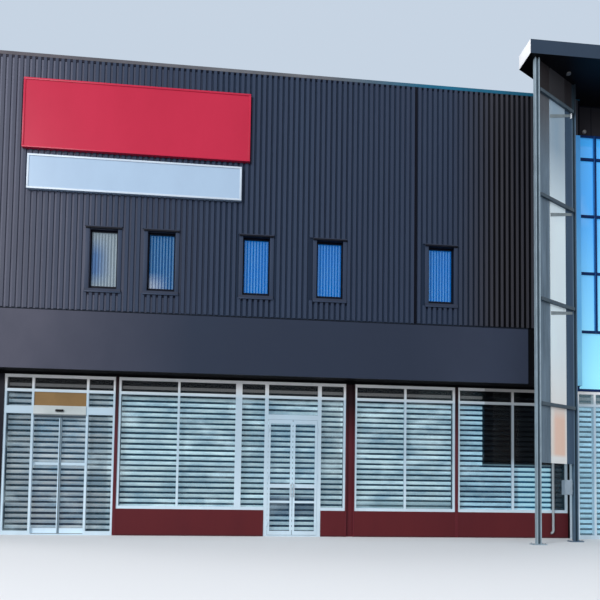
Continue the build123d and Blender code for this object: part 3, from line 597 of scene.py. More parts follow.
# painted shade: the top rails of the sliding leaves and the meeting stile are darker
tinted(slidePaint, (52, 64, 72), 0.85, zs=(leafTop - 0.085, leafTop - 0.07))
tinted(slidePaint, (74, 96, 110), 0.8, [leafSeam + run for run in (-0.02, -0.015, 0.035, 0.04)])
panelPaint = coated("panelPaint", (141, 111, 70), (120, 95, 60), (0.6, 1.6, 1.0), (0.35, 0.5),
                    shine=0.15)
operatorPaint = coated("operatorPaint", (200, 208, 208), (150, 164, 166), (0.5, 1.2, 1.0),
                       (0.3, 0.4))
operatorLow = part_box("operator_housing")[0].z
# painted shade along the bottom edge of the housing
tinted(operatorPaint, (60, 72, 78), 0.8, zs=(operatorLow + 0.035, operatorLow + 0.02))
shutterBack = alongFront(
    coated("shutterBack", (26, 44, 56), (14, 26, 36), (0.5, 1.5, 1.0), (0.6, 0.8), shine=0.1),
    (34, 50, 60), (24, 66, 88), (20, 62, 96), shutterEnds)
tinted(shutterBack, (110, 136, 142), 0.6, lowPanes, footBand)
# painted shade above the transom, painted light on the bright panes, and painted shade beside the
# porch and the entrance jamb
tinted(shutterBack, (16, 18, 20), 0.8, zs=underSoffit)
tinted(shutterBack, (30, 110, 150), 0.9, brightPanes, belowBar)
tinted(shutterBack, (2, 3, 6), 1.0, porchShade, aboveBar)
tinted(shutterBack, (4, 5, 8), 0.95, jambShade)
guidePaint = coated("guidePaint", (70, 88, 98), (40, 54, 64), (0.6, 2.0, 3.0), (0.4, 0.6),
                    shine=0.15)
# painted shade on the guides beside the entrance jamb
tinted(guidePaint, (6, 8, 12), 0.9, jambShade)
# the slats' glow is painted light
slatPaint = alongFront(
    coated("slatPaint", (205, 220, 228), (120, 160, 184), (0.75, 1.6, 0.35), (0.3, 0.5), (50, 0.03),
           vary=0.2, shine=0.2, paintedGlow=0.5),
    (190, 200, 204), (206, 236, 244), (186, 232, 252), shutterEnds)
tinted(slatPaint, (70, 90, 108), 0.75, doorPanes, (0.98, 0.92, 0.5, 0.42))
tinted(slatPaint, (140, 170, 180), 0.6, lowPanes, footBand)
for dullPart in dullSlats:
    tinted(slatPaint, (110, 120, 128), 0.35, dullPart)
# painted shade above the transom, painted light on the bright panes, and painted shade beside the
# porch and the entrance jamb
tinted(slatPaint, (112, 114, 116), 1.0, zs=underSoffit)
tinted(slatPaint, (184, 238, 255), 0.85, brightPanes, belowBar)
tinted(slatPaint, (3, 4, 8), 0.995, porchShade, aboveBar)
tinted(slatPaint, (4, 5, 8), 0.95, jambShade)
upperFramePaint = coated("upperFramePaint", (8, 12, 26), (14, 18, 32), (0.5, 2.0, 2.0), (0.3, 0.4),
                         shine=0.1)
# the glow is painted light; the paler blinds in the first window and the tints below are painted
# reflections of sky and cloud in the glass in front
blindCloth = alongFront(
    coated("blindCloth", (150, 190, 232), (112, 158, 208), (0.3, 2.0, 1.0), (0.7, 0.8), (120, 0.05),
           vary=0.08, paintedGlow=0.4),
    (202, 208, 206), (162, 193, 180), (162, 193, 180), (-5.6, -5.2, 1.0, 2.0))
tinted(blindCloth, (160, 196, 214), 0.8, secondWindow)
tinted(blindCloth, (238, 244, 244), 0.9, (-5.5, -5.4, -5.0, -4.3), lowHalf)
tinted(blindCloth, (96, 150, 200), 0.75, *darkPatch)
redPaint = coated("redPaint", (196, 42, 72), (180, 34, 62), (0.4, 0.9, 2.0), (0.25, 0.35),
                  (30, 0.02), shine=0.15)
palePaint = coated("palePaint", (172, 197, 222), (158, 180, 206), (0.45, 0.9, 2.0), (0.25, 0.35),
                   (30, 0.02))
rimPaint = coated("rimPaint", (206, 220, 234), (188, 202, 216), (0.4, 1.5, 2.0), (0.25, 0.35))

galvanised = coated("galvanised", (162, 182, 194), (128, 146, 158), (0.6, 6.0, 1.5), (0.35, 0.6),
                    (28, 0.04), metallic=0.2)
# painted shade: the rear posts are darker and bluer, and near-black at the top under the roof
tinted(galvanised, (62, 92, 118), 0.85, ys=rearPost)
tinted(galvanised, (22, 26, 32), 0.85, zs=(9.9, 10.1), ys=rearPost)
railPaint = coated("railPaint", (84, 98, 108), (64, 78, 88), (0.6, 6.0, 1.5), (0.4, 0.6),
                   (28, 0.04), shine=0.2)
slotShade = coated("slotShade", (76, 92, 104), (56, 70, 80), (0.5, 4.0, 1.5), (0.5, 0.7),
                   (28, 0.04), shine=0.1)
tinted(slotShade, (36, 52, 62), 0.85, ys=rearPost)
# pale grey: the colour of the bands that stand in for shade seen through the white sheets
shadeStrapPaint = coated("shadeStrapPaint", (144, 156, 160), (118, 130, 136), (0.5, 4.0, 1.5), (0.5, 0.7),
                    shine=0.1)
greySheet = coated("greySheet", (124, 144, 160), (84, 102, 116), (0.9, 4.0, 9.0), (0.4, 0.6),
                   (60, 0.04), shine=0.2)
# painted shade: the narrow sheets darken towards the top
tinted(greySheet, (84, 82, 84), 0.8, zs=(8.4, 9.7))
edgeSheet = coated("edgeSheet", (68, 92, 116), (50, 68, 90), (0.6, 1.6, 6.0), (0.4, 0.6),
                   (60, 0.04), shine=0.2)
# the glow is painted light, and the sheets darken towards the top as painted shade under the roof
whiteSheet = byHeight(
    coated("whiteSheet", (226, 228, 224), (200, 200, 198), (0.35, 0.8, 5.0), (0.35, 0.5),
           (60, 0.03), shine=0.2, paintedGlow=0.16),
    (232, 226, 220), (224, 240, 246), (140, 164, 182), (2.4, 4.4, 7.2, 9.0))
sheetLow, sheetHigh = solids("wide_screens")[0]
sheetRun = sheetHigh.x - sheetLow.x
rosePatch = [sheetLow.x + share * sheetRun for share in (0.05, 0.3, 0.84, 0.95)]
tinted(whiteSheet, (230, 194, 174), 0.9, rosePatch, (3.1, 2.75))
tinted(whiteSheet, (228, 232, 232), 0.9, zs=(1.98, 1.9))
for sheet in (greySheet, edgeSheet, whiteSheet):
    tinted(sheet, (38, 34, 36), 0.97, zs=(10.02, 10.1))  # the top, in the roof's shade
porchPaint = coated("porchPaint", (50, 66, 85), (44, 58, 76), (0.5, 0.8, 1.0), (0.34, 0.46),
                    shine=0.12)
tinted(porchPaint, (7, 6, 9), 1.0, zs=(10.784, 10.781))  # painted shade: the underside of the roof is near-black
# white: on the ends of the porch roof it is a painted highlight of sunlight
endPaint = coated("endPaint", (250, 252, 255), (232, 236, 240), (0.3, 1.5, 1.0), (0.3, 0.4))
headerPaint = coated("headerPaint", (44, 43, 48), (38, 38, 43), (0.5, 1.0, 1.0), (0.4, 0.55),
                     shine=0.08)
curtainPaint = coated("curtainPaint", (6, 44, 100), (10, 40, 86), (0.5, 1.2, 2.0), (0.3, 0.4),
                      shine=0.12)
# painted light: the sides of the bars that look along -X are light blue
sideTinted(curtainPaint, (70, 150, 216), 0.85)
# a painted reflection of the sky, with a painted glow, paler low down like the glass beside it
edgePaint = byHeight(
    coated("edgePaint", (70, 150, 212), (60, 130, 190), (0.3, 1.2, 2.0), (0.2, 0.3), paintedGlow=0.3),
    (126, 200, 232), (96, 176, 228), (62, 148, 216), (4.4, 5.4, 6.6, 8.0))
boxPaint = coated("boxPaint", (152, 170, 184), (128, 144, 158), (0.5, 4.0, 2.0), (0.35, 0.5),
                  shine=0.2)
pipePaint = coated("pipePaint", (180, 190, 196), (130, 138, 144), (0.5, 3.0, 4.0), (0.35, 0.5))
lampPaint = coated("lampPaint", (140, 140, 140), (110, 112, 116), (0.4, 8.0, 1.0), (0.2, 0.3))
rubberBlack = coated("rubberBlack", (14, 14, 17), (24, 24, 27), (0.4, 6.0, 1.0), (0.5, 0.7),
                     shine=0.15)
steelFitting = coated("steelFitting", (186, 190, 194), (150, 154, 160), (0.4, 12.0, 1.0),
                      (0.22, 0.35), (90, 0.03), metallic=0.85)
roofSheet = coated("roofSheet", (96, 98, 102), (74, 76, 80), (0.7, 0.5, 1.0), (0.8, 0.95),
                   (110, 0.4))
concrete = coated("concrete", (150, 148, 144), (122, 120, 116), (0.6, 0.6, 1.0), (0.6, 0.8),
                  (60, 0.1))

# painted reflections: near-black above the transom from the dark soffit, and darker still on the
# panes beside the porch
shopGlass = glazing("shopGlass", (40, 74, 92), (10, 12, 14), (3.2, 3.3), (206, 230, 238),
                    {"share": 0.75, "scale": 1.3, "from": 0.54}, 0.18, (1, 1, 1.6), fade=True)
tinted(shopGlass, (4, 6, 10), 0.97, porchShade, (1.68, 1.84))
tinted(shopGlass, (70, 90, 92), 0.8, (1.4, 1.5, 2.95, 3.1), (3.25, 3.3))
doorGlass = glazing("doorGlass", (36, 62, 90), (50, 96, 124), (0.3, 2.7), (200, 226, 240),
                    {"share": 0.6, "scale": 1.5, "from": 0.55}, 0.2, (1, 1, 1.6))
# the glow and the window-by-window tints are painted reflections of sky and cloud
upperGlass = glazing("upperGlass", (2, 98, 177), (2, 94, 172), (5.6, 6.9), (40, 120, 180),
                     {"share": 0.2, "scale": 0.7, "from": 0.58}, 0.42, paintedGlow=0.65, shine=0.2)
tinted(upperGlass, (14, 66, 110), 0.8, secondWindow)
tinted(upperGlass, (120, 132, 135), 0.9, (-5.3, -5.5))
tinted(upperGlass, (22, 76, 133), 0.75, *darkPatch)
tinted(upperGlass, (191, 195, 199), 0.45, (-5.5, -5.4, -5.05, -4.6), lowHalf)
# the glow and the blue that pales downwards are a painted reflection of the sky
porchGlass = glazing("porchGlass", (144, 220, 244), (68, 162, 230), (4.0, 8.0), (206, 232, 244),
                     {"share": 0.3, "scale": 0.4, "from": 0.56}, 0.93, paintedGlow=0.47)
tinted(porchGlass, (110, 132, 142), 0.85, zs=(3.62, 3.6))
alphaByHeight(porchGlass, 0.2, 0.93, (3.6, 3.62))

nodeFinish = {
    "ground_floor": concrete, "upper_floor": concrete, "roof_deck": roofSheet,
    "front_cladding_left": claddingGroove, "front_cladding_right": claddingGroove,
    "front_cladding_wing": claddingGroove, "left_cladding": claddingGroove,
    "right_cladding": claddingGroove, "back_cladding": claddingGroove,
    "fascia_wall": shadedWall, "fascia_band": fasciaPaint,
    "left_lower_wall": blockWall, "right_lower_wall": blockWall, "back_lower_wall": blockWall,
    "parapet_capping": cappingPaint, "shop_soffit": soffitPaint, "columns": burgundyPaint,
    "porch_jambs": shadedWall, "plinths": plinthPaint, "window_frames": framePaint,
    "slide_frame": framePaint, "blank_panel": panelPaint, "operator_housing": operatorPaint,
    "sliding_leaf_left": slidePaint, "sliding_leaf_right": slidePaint,
    "sliding_glass_left": doorGlass, "sliding_glass_right": doorGlass,
    "door_frame": framePaint, "thresholds": framePaint, "shop_glass": shopGlass,
    "swing_leaf_left": framePaint, "swing_leaf_right": framePaint,
    "swing_glass_left": doorGlass, "swing_glass_right": doorGlass,
    "roller_shutters": shutterBack, "upper_window_frames": upperFramePaint,
    "upper_window_glass": upperGlass, "upper_window_drips": dripPaint,
    "pale_sign": palePaint, "red_sign": redPaint, "porch_posts": galvanised,
    "narrow_screens": greySheet, "wide_screens": whiteSheet, "edge_screens": edgeSheet,
    "screen_rails": railPaint,
    "service_box": boxPaint, "downpipe": pipePaint, "porch_lamps": lampPaint,
    "porch_roof": porchPaint, "curtain_frame": curtainPaint, "porch_glass": porchGlass,
    "curtain_header": headerPaint, "entrance_frame": framePaint,
}
for name, finish in nodeFinish.items():
    nodes[name].data.materials.clear()
    nodes[name].data.materials.append(finish)
print("stage: finishes are on the CAD pieces")


# The four clad walls: how far along, out from the face and up go into the building

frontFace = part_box("front_cladding_left")[0].y
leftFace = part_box("left_cladding")[0].x
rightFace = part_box("right_cladding")[1].x
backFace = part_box("back_cladding")[1].y
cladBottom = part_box("front_cladding_left")[0].z
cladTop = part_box("front_cladding_left")[1].z

wallPlaces = {
    "front": lambda along, out, up: Vector((along, frontFace - out, up)),
    "back": lambda along, out, up: Vector((along, backFace + out, up)),
    "left": lambda along, out, up: Vector((leftFace - out, along, up)),
    "right": lambda along, out, up: Vector((rightFace + out, along, up)),
}
wallNodes = {
    "front": ("front_cladding_left", "front_cladding_right", "front_cladding_wing"),
    "back": ("back_cladding",),
    "left": ("left_cladding",),
    "right": ("right_cladding",),
}


def wallOf(low, high):
    # the wall that a thin box lies in
    if high.y - low.y < high.x - low.x:
        return "front" if low.y < 0 else "back"
    return "left" if low.x < 0 else "right"


def alongOf(wall, low, high):
    return (low.x, high.x) if wall in ("front", "back") else (low.y, high.y)


def stepOf(place, pitch):
    # one step along a wall
    return place(pitch, 0, 0) - place(0, 0, 0)


upperWindows = {wall: [] for wall in wallPlaces}
for low, high in solids("upper_window_frames"):
    wall = wallOf(low, high)
    upperWindows[wall].append((*alongOf(wall, low, high), low.z, high.z))

ribs = {
    "pitch": 0.127,
    "crown": 0.070,
    "foot": 0.086,
    "depth": 0.024,
    "soft": 0.004,
    "bottomGap": 0.035,
    "windowMargin": 0.088,
    "windowHead": 0.054,
    "windowSill": 0.053,
}


def ribLine(start, end):
    count = int((end - start) / ribs["pitch"])
    return count, (start + end) / 2 - (count - 1) / 2 * ribs["pitch"]


def ribRuns(wall, start, end):
    # rib places along one wall length, grouped by the heights that they run over
    count, first = ribLine(start, end)
    reach = ribs["windowMargin"] + ribs["foot"] / 2
    runs = []
    for number in range(count):
        middle = first + number * ribs["pitch"]
        spans = [(cladBottom + ribs["bottomGap"], cladTop)]
        for left, right, sill, head in upperWindows[wall]:
            if left - reach < middle < right + reach:
                spans = [(spans[0][0], sill - ribs["windowSill"]),
                         (head + ribs["windowHead"], cladTop)]
        if runs and runs[-1][2] == spans:
            runs[-1][1] += 1
        else:
            runs.append([middle, 1, spans])
    return runs


def makeRibs():
    crown, foot, depth, soft = ribs["crown"] / 2, ribs["foot"] / 2, ribs["depth"], ribs["soft"]
    outline = ((-foot, 0), (-crown, depth - soft), (-crown + soft, depth), (crown - soft, depth),
               (crown, depth - soft), (foot, 0))
    for wall, place in wallPlaces.items():
        lengths = []
        for node in wallNodes[wall]:
            for middle, count, spans in ribRuns(wall, *alongOf(wall, *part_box(node))):
                for bottom, top in spans:
                    length = meshOf(addPrism, outline, bottom, top,
                                    lambda u, v, w: place(middle + u, v, w))
                    lengths.append(repeated(length, count, stepOf(place, ribs["pitch"]),
                                            claddingRib))
        makePiece(wall + "Ribs", lengths, claddingRib, smoothAngle=20)


closures = {"width": 0.046, "depth": 0.015, "height": 0.045}
sillLips = {"drop": 0.033, "thickness": 0.009, "past": 0.085, "back": 0.0005, "under": 0.048,
            "soft": 0.002}


def makeClosures():
    # dark fillers in the troughs, under the capping and under each sill
    fillers = []
    half = closures["width"] / 2
    margin = ribs["windowMargin"]
    for wall, place in wallPlaces.items():
        for node in wallNodes[wall]:
            count, first = ribLine(*alongOf(wall, *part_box(node)))
            troughs = [first + (number + 0.5) * ribs["pitch"] for number in range(count - 1)]
            rows = [(troughs, cladTop)]
            for left, right, sill, head in upperWindows[wall]:
                under = [t for t in troughs if left - margin < t < right + margin]
                if under:
                    rows.append((under, sill - ribs["windowSill"] - sillLips["drop"]))
            for middles, top in rows:
                filler = meshOf(addBlock, place(middles[0] - half, 0, top - closures["height"]),
                                place(middles[0] + half, closures["depth"], top))
                fillers.append(repeated(filler, len(middles), stepOf(place, ribs["pitch"]),
                                        closurePaint))
    makePiece("troughClosures", fillers, closurePaint)


def makeSillLips():
    # the folded front edge that hangs down from each sill
    shape = bmesh.new()
    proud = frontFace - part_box("upper_window_drips")[0].y
    for wall, place in wallPlaces.items():
        for left, right, sill, head in upperWindows[wall]:
            addBlock(shape, place(left - sillLips["past"], proud - sillLips["thickness"],
                                  sill - ribs["windowSill"] - sillLips["drop"]),
                     place(right + sillLips["past"], proud - sillLips["back"],
                           sill - sillLips["under"]), sillLips["soft"])
    makePiece("sillLips", meshFrom(shape), claddingRib)


makeRibs()
makeClosures()
makeSillLips()
print("stage: ribs of the cladding")

trims = {"cornerWidth": 0.11, "proud": 0.0245, "soft": 0.003, "jointWidth": 0.05,
         "jointProud": 0.0285, "drop": 0.03, "back": 0.004, "nose": 0.012, "lift": 0.006}


def makeTrims():
    # folded corner trims, the cover over the cladding joint and the flashing on the band
    shape = bmesh.new()
    for cornerX, side in ((leftFace, -1), (rightFace, 1)):
        outerX = cornerX + side * trims["proud"]
        innerX = cornerX - side * trims["cornerWidth"]
        for cornerY, way in ((frontFace, -1), (backFace, 1)):
            outerY = cornerY + way * trims["proud"]
            innerY = cornerY - way * trims["cornerWidth"]
            for x, y in ((innerX, cornerY), (cornerX, innerY)):
                addBlock(shape, (x, y, cladBottom), (outerX, outerY, cladTop), trims["soft"])
    makePiece("cladTrims", meshFrom(shape), trimDark)

    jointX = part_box("front_cladding_left")[1].x
    half = trims["jointWidth"] / 2
    cover = meshOf(addBlock, (jointX - half, frontFace - trims["jointProud"], cladBottom),
                   (jointX + half, frontFace, cladTop), trims["soft"])
    makePiece("jointCover", cover, jointBlack)

    shape = bmesh.new()
    for low, high in solids("fascia_band"):
        foldY, noseZ = low.y + trims["back"], high.z - trims["nose"]
        outline = ((frontFace, high.z + trims["drop"]), (frontFace, high.z), (foldY, high.z),
                   (foldY, noseZ), (low.y, noseZ), (low.y, high.z + trims["lift"]))
        addPrism(shape, outline, low.x, high.x, lambda u, v, w: Vector((w, u, v)))
    makePiece("bandFlashing", meshFrom(shape), trimDark)


flashings = {"proud": 0.020, "past": 0.05, "soft": 0.003}


def makeWindowFlashings():
    # folded plates beside each upper window, between the drip and the sill
    shape = bmesh.new()
    for wall, place in wallPlaces.items():
        for left, right, sill, head in upperWindows[wall]:
            for inner, side in ((left, -1), (right, 1)):
                addBlock(shape, place(inner, 0, sill - flashings["past"]),
                         place(inner + side * ribs["windowMargin"], flashings["proud"],
                               head + flashings["past"]), flashings["soft"])
    makePiece("windowFlashings", meshFrom(shape), claddingRib)


blinds = {"count": 8, "behind": 0.045, "thickness": 0.003, "share": 0.42, "bow": 0.25,
          "points": 5, "below": 0.05, "above": 0.03}


def makeBlinds():
    # upright blind strips behind the glass of each upper window
    strips = []
    for low, high in solids("upper_window_glass"):
        wall = wallOf(low, high)
        place = wallPlaces[wall]
        start, end = alongOf(wall, low, high)
        across = 1 if wall in ("front", "back") else 0
        inset = abs((low[across] + high[across]) / 2 - place(0, 0, 0)[across])
        pitch = (end - start) / blinds["count"]
        half = pitch * blinds["share"] / 2
        depth = -(inset + blinds["behind"])
        front = bowedLine(blinds["points"], half, half * blinds["bow"])
        back = [(u, v - blinds["thickness"]) for u, v in reversed(front)]
        strip = meshOf(addPrism, front + back, low.z - blinds["below"],
                       high.z + blinds["above"],
                       lambda u, v, w: place(start + pitch / 2 + u, depth + v, w))
        strips.append(repeated(strip, blinds["count"], stepOf(place, pitch), blindCloth))
    makePiece("upperBlinds", strips, blindCloth)


makeTrims()
makeWindowFlashings()
makeBlinds()
print("stage: upper windows")

slats = {
    "pitch": 0.125,
    "height": 0.075,
    "bow": 0.012,
    "proud": 0.004,
    "back": 0.0005,
    "points": 6,
    "wobble": 0.003,
    "side": 0.035,
    "guide": 0.045,
    "guideDepth": 0.022,
    "guideTop": 0.04,
    "guideSoft": 0.003,
    "bar": 0.09,
    "barDepth": 0.020,
    "barSoft": 0.004,
    "overBar": 0.02,
    "topGap": 0.06,
}


def makeShutterSlats():
    # bowed laths on each roller shutter, its side guides and its bottom bar
    laths = []
    rails = bmesh.new()
    half = slats["height"] / 2
    curve = [(-slats["proud"] - bow, half + up)
             for up, bow in bowedLine(slats["points"], half, slats["bow"])]
    outline = curve + [(-slats["back"], slats["height"]), (-slats["back"], 0)]
    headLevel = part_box("window_frames")[1].z
    for low, high in solids("roller_shutters"):
        face = low.y
        bottom = low.z + slats["bar"]
        top = min(high.z, headLevel) - slats["topGap"]
        lath = meshOf(addPrism, outline, low.x + slats["side"], high.x - slats["side"],
                      lambda u, v, w: Vector((w, face + u, bottom + slats["overBar"] + v)))
        laths.append(repeated(lath, int((top - bottom) / slats["pitch"]),
                              (0, 0, slats["pitch"]), slatPaint,
                              wobble=(0, 0, slats["wobble"]), seed=7))
        for edgeX, way in ((low.x, 1), (high.x, -1)):
            addBlock(rails, (edgeX, face - slats["guideDepth"], low.z),
                     (edgeX + way * slats["guide"], face, top + slats["guideTop"]),
                     slats["guideSoft"])
        addBlock(rails, (low.x + slats["guide"], face - slats["barDepth"], low.z),
                 (high.x - slats["guide"], face, bottom), slats["barSoft"])
    makePiece("shutterSlats", laths, slatPaint, smoothAngle=25)
    makePiece("shutterGuides", meshFrom(rails), guidePaint)


makeShutterSlats()
print("stage: roller shutters")

signRim = {"width": 0.045, "proud": 0.012, "soft": 0.004}


def makeSignRims():
    # a raised lip round each blank tray
    width = signRim["width"]
    for word, finish in (("pale", rimPaint), ("red", redPaint)):
        low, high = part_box(word + "_sign")
        shape = bmesh.new()
        for x0, x1, z0, z1 in ((low.x, high.x, low.z, low.z + width),
                               (low.x, high.x, high.z - width, high.z),
                               (low.x, low.x + width, low.z + width, high.z - width),
                               (high.x - width, high.x, low.z + width, high.z - width)):
            addBlock(shape, (x0, low.y - signRim["proud"], z0), (x1, low.y, z1), signRim["soft"])
        makePiece(word + "SignRim", meshFrom(shape), finish)


porchEnds = {"thickness": 0.004, "length": 0.545, "soft": 0.001}


def makePorchEnds():
    # white sheets on the square ends of the porch roof: a painted highlight of sunlight on the ends
    low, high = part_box("porch_roof")
    shape = bmesh.new()
    for x, side in ((low.x, -1), (high.x, 1)):
        addBlock(shape, (x, low.y, low.z), (x + side * porchEnds["thickness"],
                                            low.y + porchEnds["length"], high.z),
                 porchEnds["soft"])
    makePiece("porchRoofEnds", meshFrom(shape), endPaint)


curtainCaps = {"width": 0.056, "proud": 0.022, "levelProud": 0.018, "soft": 0.004,
               "widePane": 0.8}


def makeCurtainCaps():
    # raised cover strips on the bars of the porch's glazed wall
    low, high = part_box("curtain_frame")
    panes = [box for box in solids("porch_glass") if box[0].z > low.z]
    wide = (high.x - low.x) * curtainCaps["widePane"]
    upper = [box for box in panes if box[1].x - box[0].x < wide]
    bigTop = next(box for box in panes if box not in upper)[1].z
    half, soft = curtainCaps["width"] / 2, curtainCaps["soft"]
    lefts, rights, bottoms, tops = (sorted({round(box[end][axis], 3) for box in upper})
                                    for end, axis in ((0, 0), (1, 0), (0, 2), (1, 2)))
    shape = bmesh.new()
    uprights = [((right + left) / 2, bigTop) for right, left in zip(rights[:-1], lefts[1:])]
    for x, bottom in uprights + [(low.x + half, low.z), (high.x - half, low.z)]:
        addBlock(shape, (x - half, low.y - curtainCaps["proud"], bottom),
                 (x + half, low.y, high.z), soft)
    levels = [(top + bottom) / 2 for top, bottom in zip(tops[:-1], bottoms[1:])]
    for level in levels + [(bigTop + bottoms[0]) / 2, low.z + half, high.z - half]:
        addBlock(shape, (low.x + 2 * half, low.y - curtainCaps["levelProud"], level - half),
                 (high.x - 2 * half, low.y, level + half), soft)
    makePiece("curtainCaps", meshFrom(shape), curtainPaint)


makeSignRims()
makePorchEnds()
makeCurtainCaps()

# Small parts of the porch: slots of the posts, strips and brackets on the screens, bolts, lamps

postBoxes = solids("porch_posts")
postCentres = [((low.x + high.x) / 2, (low.y + high.y) / 2) for low, high in postBoxes]
porchLow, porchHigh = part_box("porch_roof")
porchMiddle = (porchLow.x + porchHigh.x) / 2
roofSoffit = porchLow.z

postSlots = {"postSize": 0.1, "flange": 0.02, "depth": 0.004, "foot": 0.021, "topGap": 0.001}


def makePostSlots():
    # thin dark sheets in the hollows of the posts: painted shade, where the hollows lie in shadow
    shape = bmesh.new()
    inner = postSlots["postSize"] / 2 - postSlots["flange"]
    web = postSlots["flange"] / 2
    for x, y in postCentres:
        for way in (-1, 1):
            addBlock(shape, (x - inner, y + way * web, postSlots["foot"]),
                     (x + inner, y + way * (web + postSlots["depth"]),
                      roofSoffit - postSlots["topGap"]))
    makePiece("postSlots", meshFrom(shape), slotShade)


screenParts = {
    "sheetHalf": 0.017,
    "shadeFall": 0.0403,
    "shadeFrom": 1.19,
    "shadeStart": 0.5,
    "shadeEnd": 0.1,
    "shadeWidth": 0.08,
    "shadeNarrow": 0.8,
    "shadeProud": 0.006,
    "underRail": 0.02,
    "bracketEnd": 0.11,
    "bracketWidth": 0.015,
    "bracketProud": 0.03,
    "bracketTop": 0.01,
    "bracketHeight": 0.12,
}


def screenPlaces():
    # for each side of the porch: its run's length and a function of along, up and out on its face
    found = []
    for side in (-1, 1):
        ours = sorted([c for c in postCentres if (c[0] - porchMiddle) * side > 0],
                      key=lambda c: c[1])
        front, rear = Vector((*ours[0], 0)), Vector((*ours[1], 0))
        run = (rear - front).normalized()
        out = Vector((run.y, -run.x, 0)) * -side
        found.append(((rear - front).length,
                      lambda u, v, w, o=front, r=run, n=out: o + r * u + n * w + Vector((0, 0, v))))
    return found


def makeShadeStraps():
    # flat bands of painted shade that slant down from the rear end of each upper rail, and brackets
    # on the top one
    shadeStraps, brackets = bmesh.new(), bmesh.new()
    levels = sorted({round(low.z, 3) for low, high in solids("screen_rails")})
    parts = screenParts
    face = parts["sheetHalf"]
    for length, place in screenPlaces():
        near, far = parts["shadeStart"], length - parts["shadeEnd"]
        for level in levels[1:]:
            low = level - parts["shadeFall"] * (level - parts["shadeFrom"])
            high = level - parts["underRail"]
            width = parts["shadeWidth"]
            outline = ((near, low - width), (far, high - width * parts["shadeNarrow"]),
                       (far, high), (near, low))
            addPrism(shadeStraps, outline, face, face + parts["shadeProud"], place)
        end = length - parts["bracketEnd"]
        start = end - parts["bracketWidth"]
        top = levels[-1] - parts["bracketTop"]
        bottom = top - parts["bracketHeight"]
        addPrism(brackets, ((start, bottom), (end, bottom), (end, top), (start, top)),
                 face, face + parts["bracketProud"], place)
    makePiece("screenShadeStraps", meshFrom(shadeStraps), shadeStrapPaint)
    makePiece("railBrackets", meshFrom(brackets), endPaint)


edgeTrims = {"liningProud": 0.026, "belowHeader": 0.145, "stripThickness": 0.004,
             "stripStart": 0.05, "stripEnd": 0.14, "stripFoot": 0.001, "stripTop": 0.02}


def makeEdgeTrims():
    # lining strips beside the curtain wall, sky blue with a painted reflection, and pale strips on
    # the outer sides of the jambs below
    lining, strips = bmesh.new(), bmesh.new()
    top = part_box("curtain_header")[0].z - edgeTrims["belowHeader"]
    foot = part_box("fascia_wall")[0].z
    for low, high in solids("porch_jambs"):
        side = 1 if low.x > porchMiddle else -1
        outer = high.x if side > 0 else low.x
        addBlock(lining, (low.x, frontFace - edgeTrims["liningProud"], foot),
                 (high.x, frontFace, top))
        addBlock(strips, (outer, low.y + edgeTrims["stripStart"], edgeTrims["stripFoot"]),
                 (outer + side * edgeTrims["stripThickness"], low.y + edgeTrims["stripEnd"],
                  high.z - edgeTrims["stripTop"]))
    makePiece("curtainLinings", meshFrom(lining), edgePaint)
    makePiece("jambStrips", meshFrom(strips), framePaint)


bolts = {"radius": 0.016, "height": 0.018, "across": 0.12, "deep": 0.07, "plateTop": 0.02}


def makeBaseBolts():
    # four bolts through each base plate
    heads = []
    for x, y in postCentres:
        for way in (-1, 1):
            foot = Vector((x - bolts["across"], y + way * bolts["deep"], bolts["plateTop"]))
            bolt = meshOf(addRod, foot, foot + Vector((0, 0, bolts["height"])),
                          bolts["radius"], 6)
            heads.append(repeated(bolt, 2, (2 * bolts["across"], 0, 0), steelFitting))
    makePiece("baseBolts", heads, steelFitting)


soffitParts = {"lampX": 4.5, "lampY": -6.21, "lampRadius": 0.05, "lampDepth": 0.03,
               "jointX": 0.9, "jointHalf": 0.008, "jointProud": 0.003, "topJoint": 0.03}


def makeSoffitLamps():
    # shallow round lamps under the porch roof, and the joints of the header panels
    shape = bmesh.new()
    for x in (soffitParts["lampX"], 2 * porchMiddle - soffitParts["lampX"]):
        addRod(shape, (x, soffitParts["lampY"], roofSoffit - soffitParts["lampDepth"]),
               (x, soffitParts["lampY"], roofSoffit), soffitParts["lampRadius"], 20)
    makePiece("soffitLamps", meshFrom(shape), lampPaint, smoothAngle=40)

    shape = bmesh.new()
    low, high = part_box("curtain_header")
    front, half = low.y - soffitParts["jointProud"], soffitParts["jointHalf"]
    for side in (-1, 1):
        middle = porchMiddle + side * soffitParts["jointX"]
        addBlock(shape, (middle - half, front, low.z), (middle + half, low.y, high.z))
    addBlock(shape, (low.x, front, high.z - soffitParts["topJoint"]), (high.x, low.y, high.z))
    makePiece("headerJoints", meshFrom(shape), jointBlack)


makePostSlots()
makeShadeStraps()
makeEdgeTrims()
makeBaseBolts()
makeSoffitLamps()
print("stage: porch")

# Small parts of the shopfront and the roof

sensor = {"width": 0.188, "height": 0.053, "proud": 0.004, "depth": 0.03, "soft": 0.014}


def makeSensorCover():
    # black cover over the sensor on the sliding door's operator
    low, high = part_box("operator_housing")
    middle, level = (low.x + high.x) / 2, (low.z + high.z) / 2
    across, up = sensor["width"] / 2, sensor["height"] / 2
    cover = meshOf(addBlock, (middle - across, low.y - sensor["proud"], level - up),
                   (middle + across, low.y + sensor["depth"], level + up), sensor["soft"])
    makePiece("sensorCover", cover, rubberBlack, smoothAngle=50)


handles = {"low": 0.95, "high": 1.2, "past": 0.03, "radius": 0.009, "armRadius": 0.0072,
           "out": 0.05, "fromEdge": 0.026, "leafDepth": 0.06}


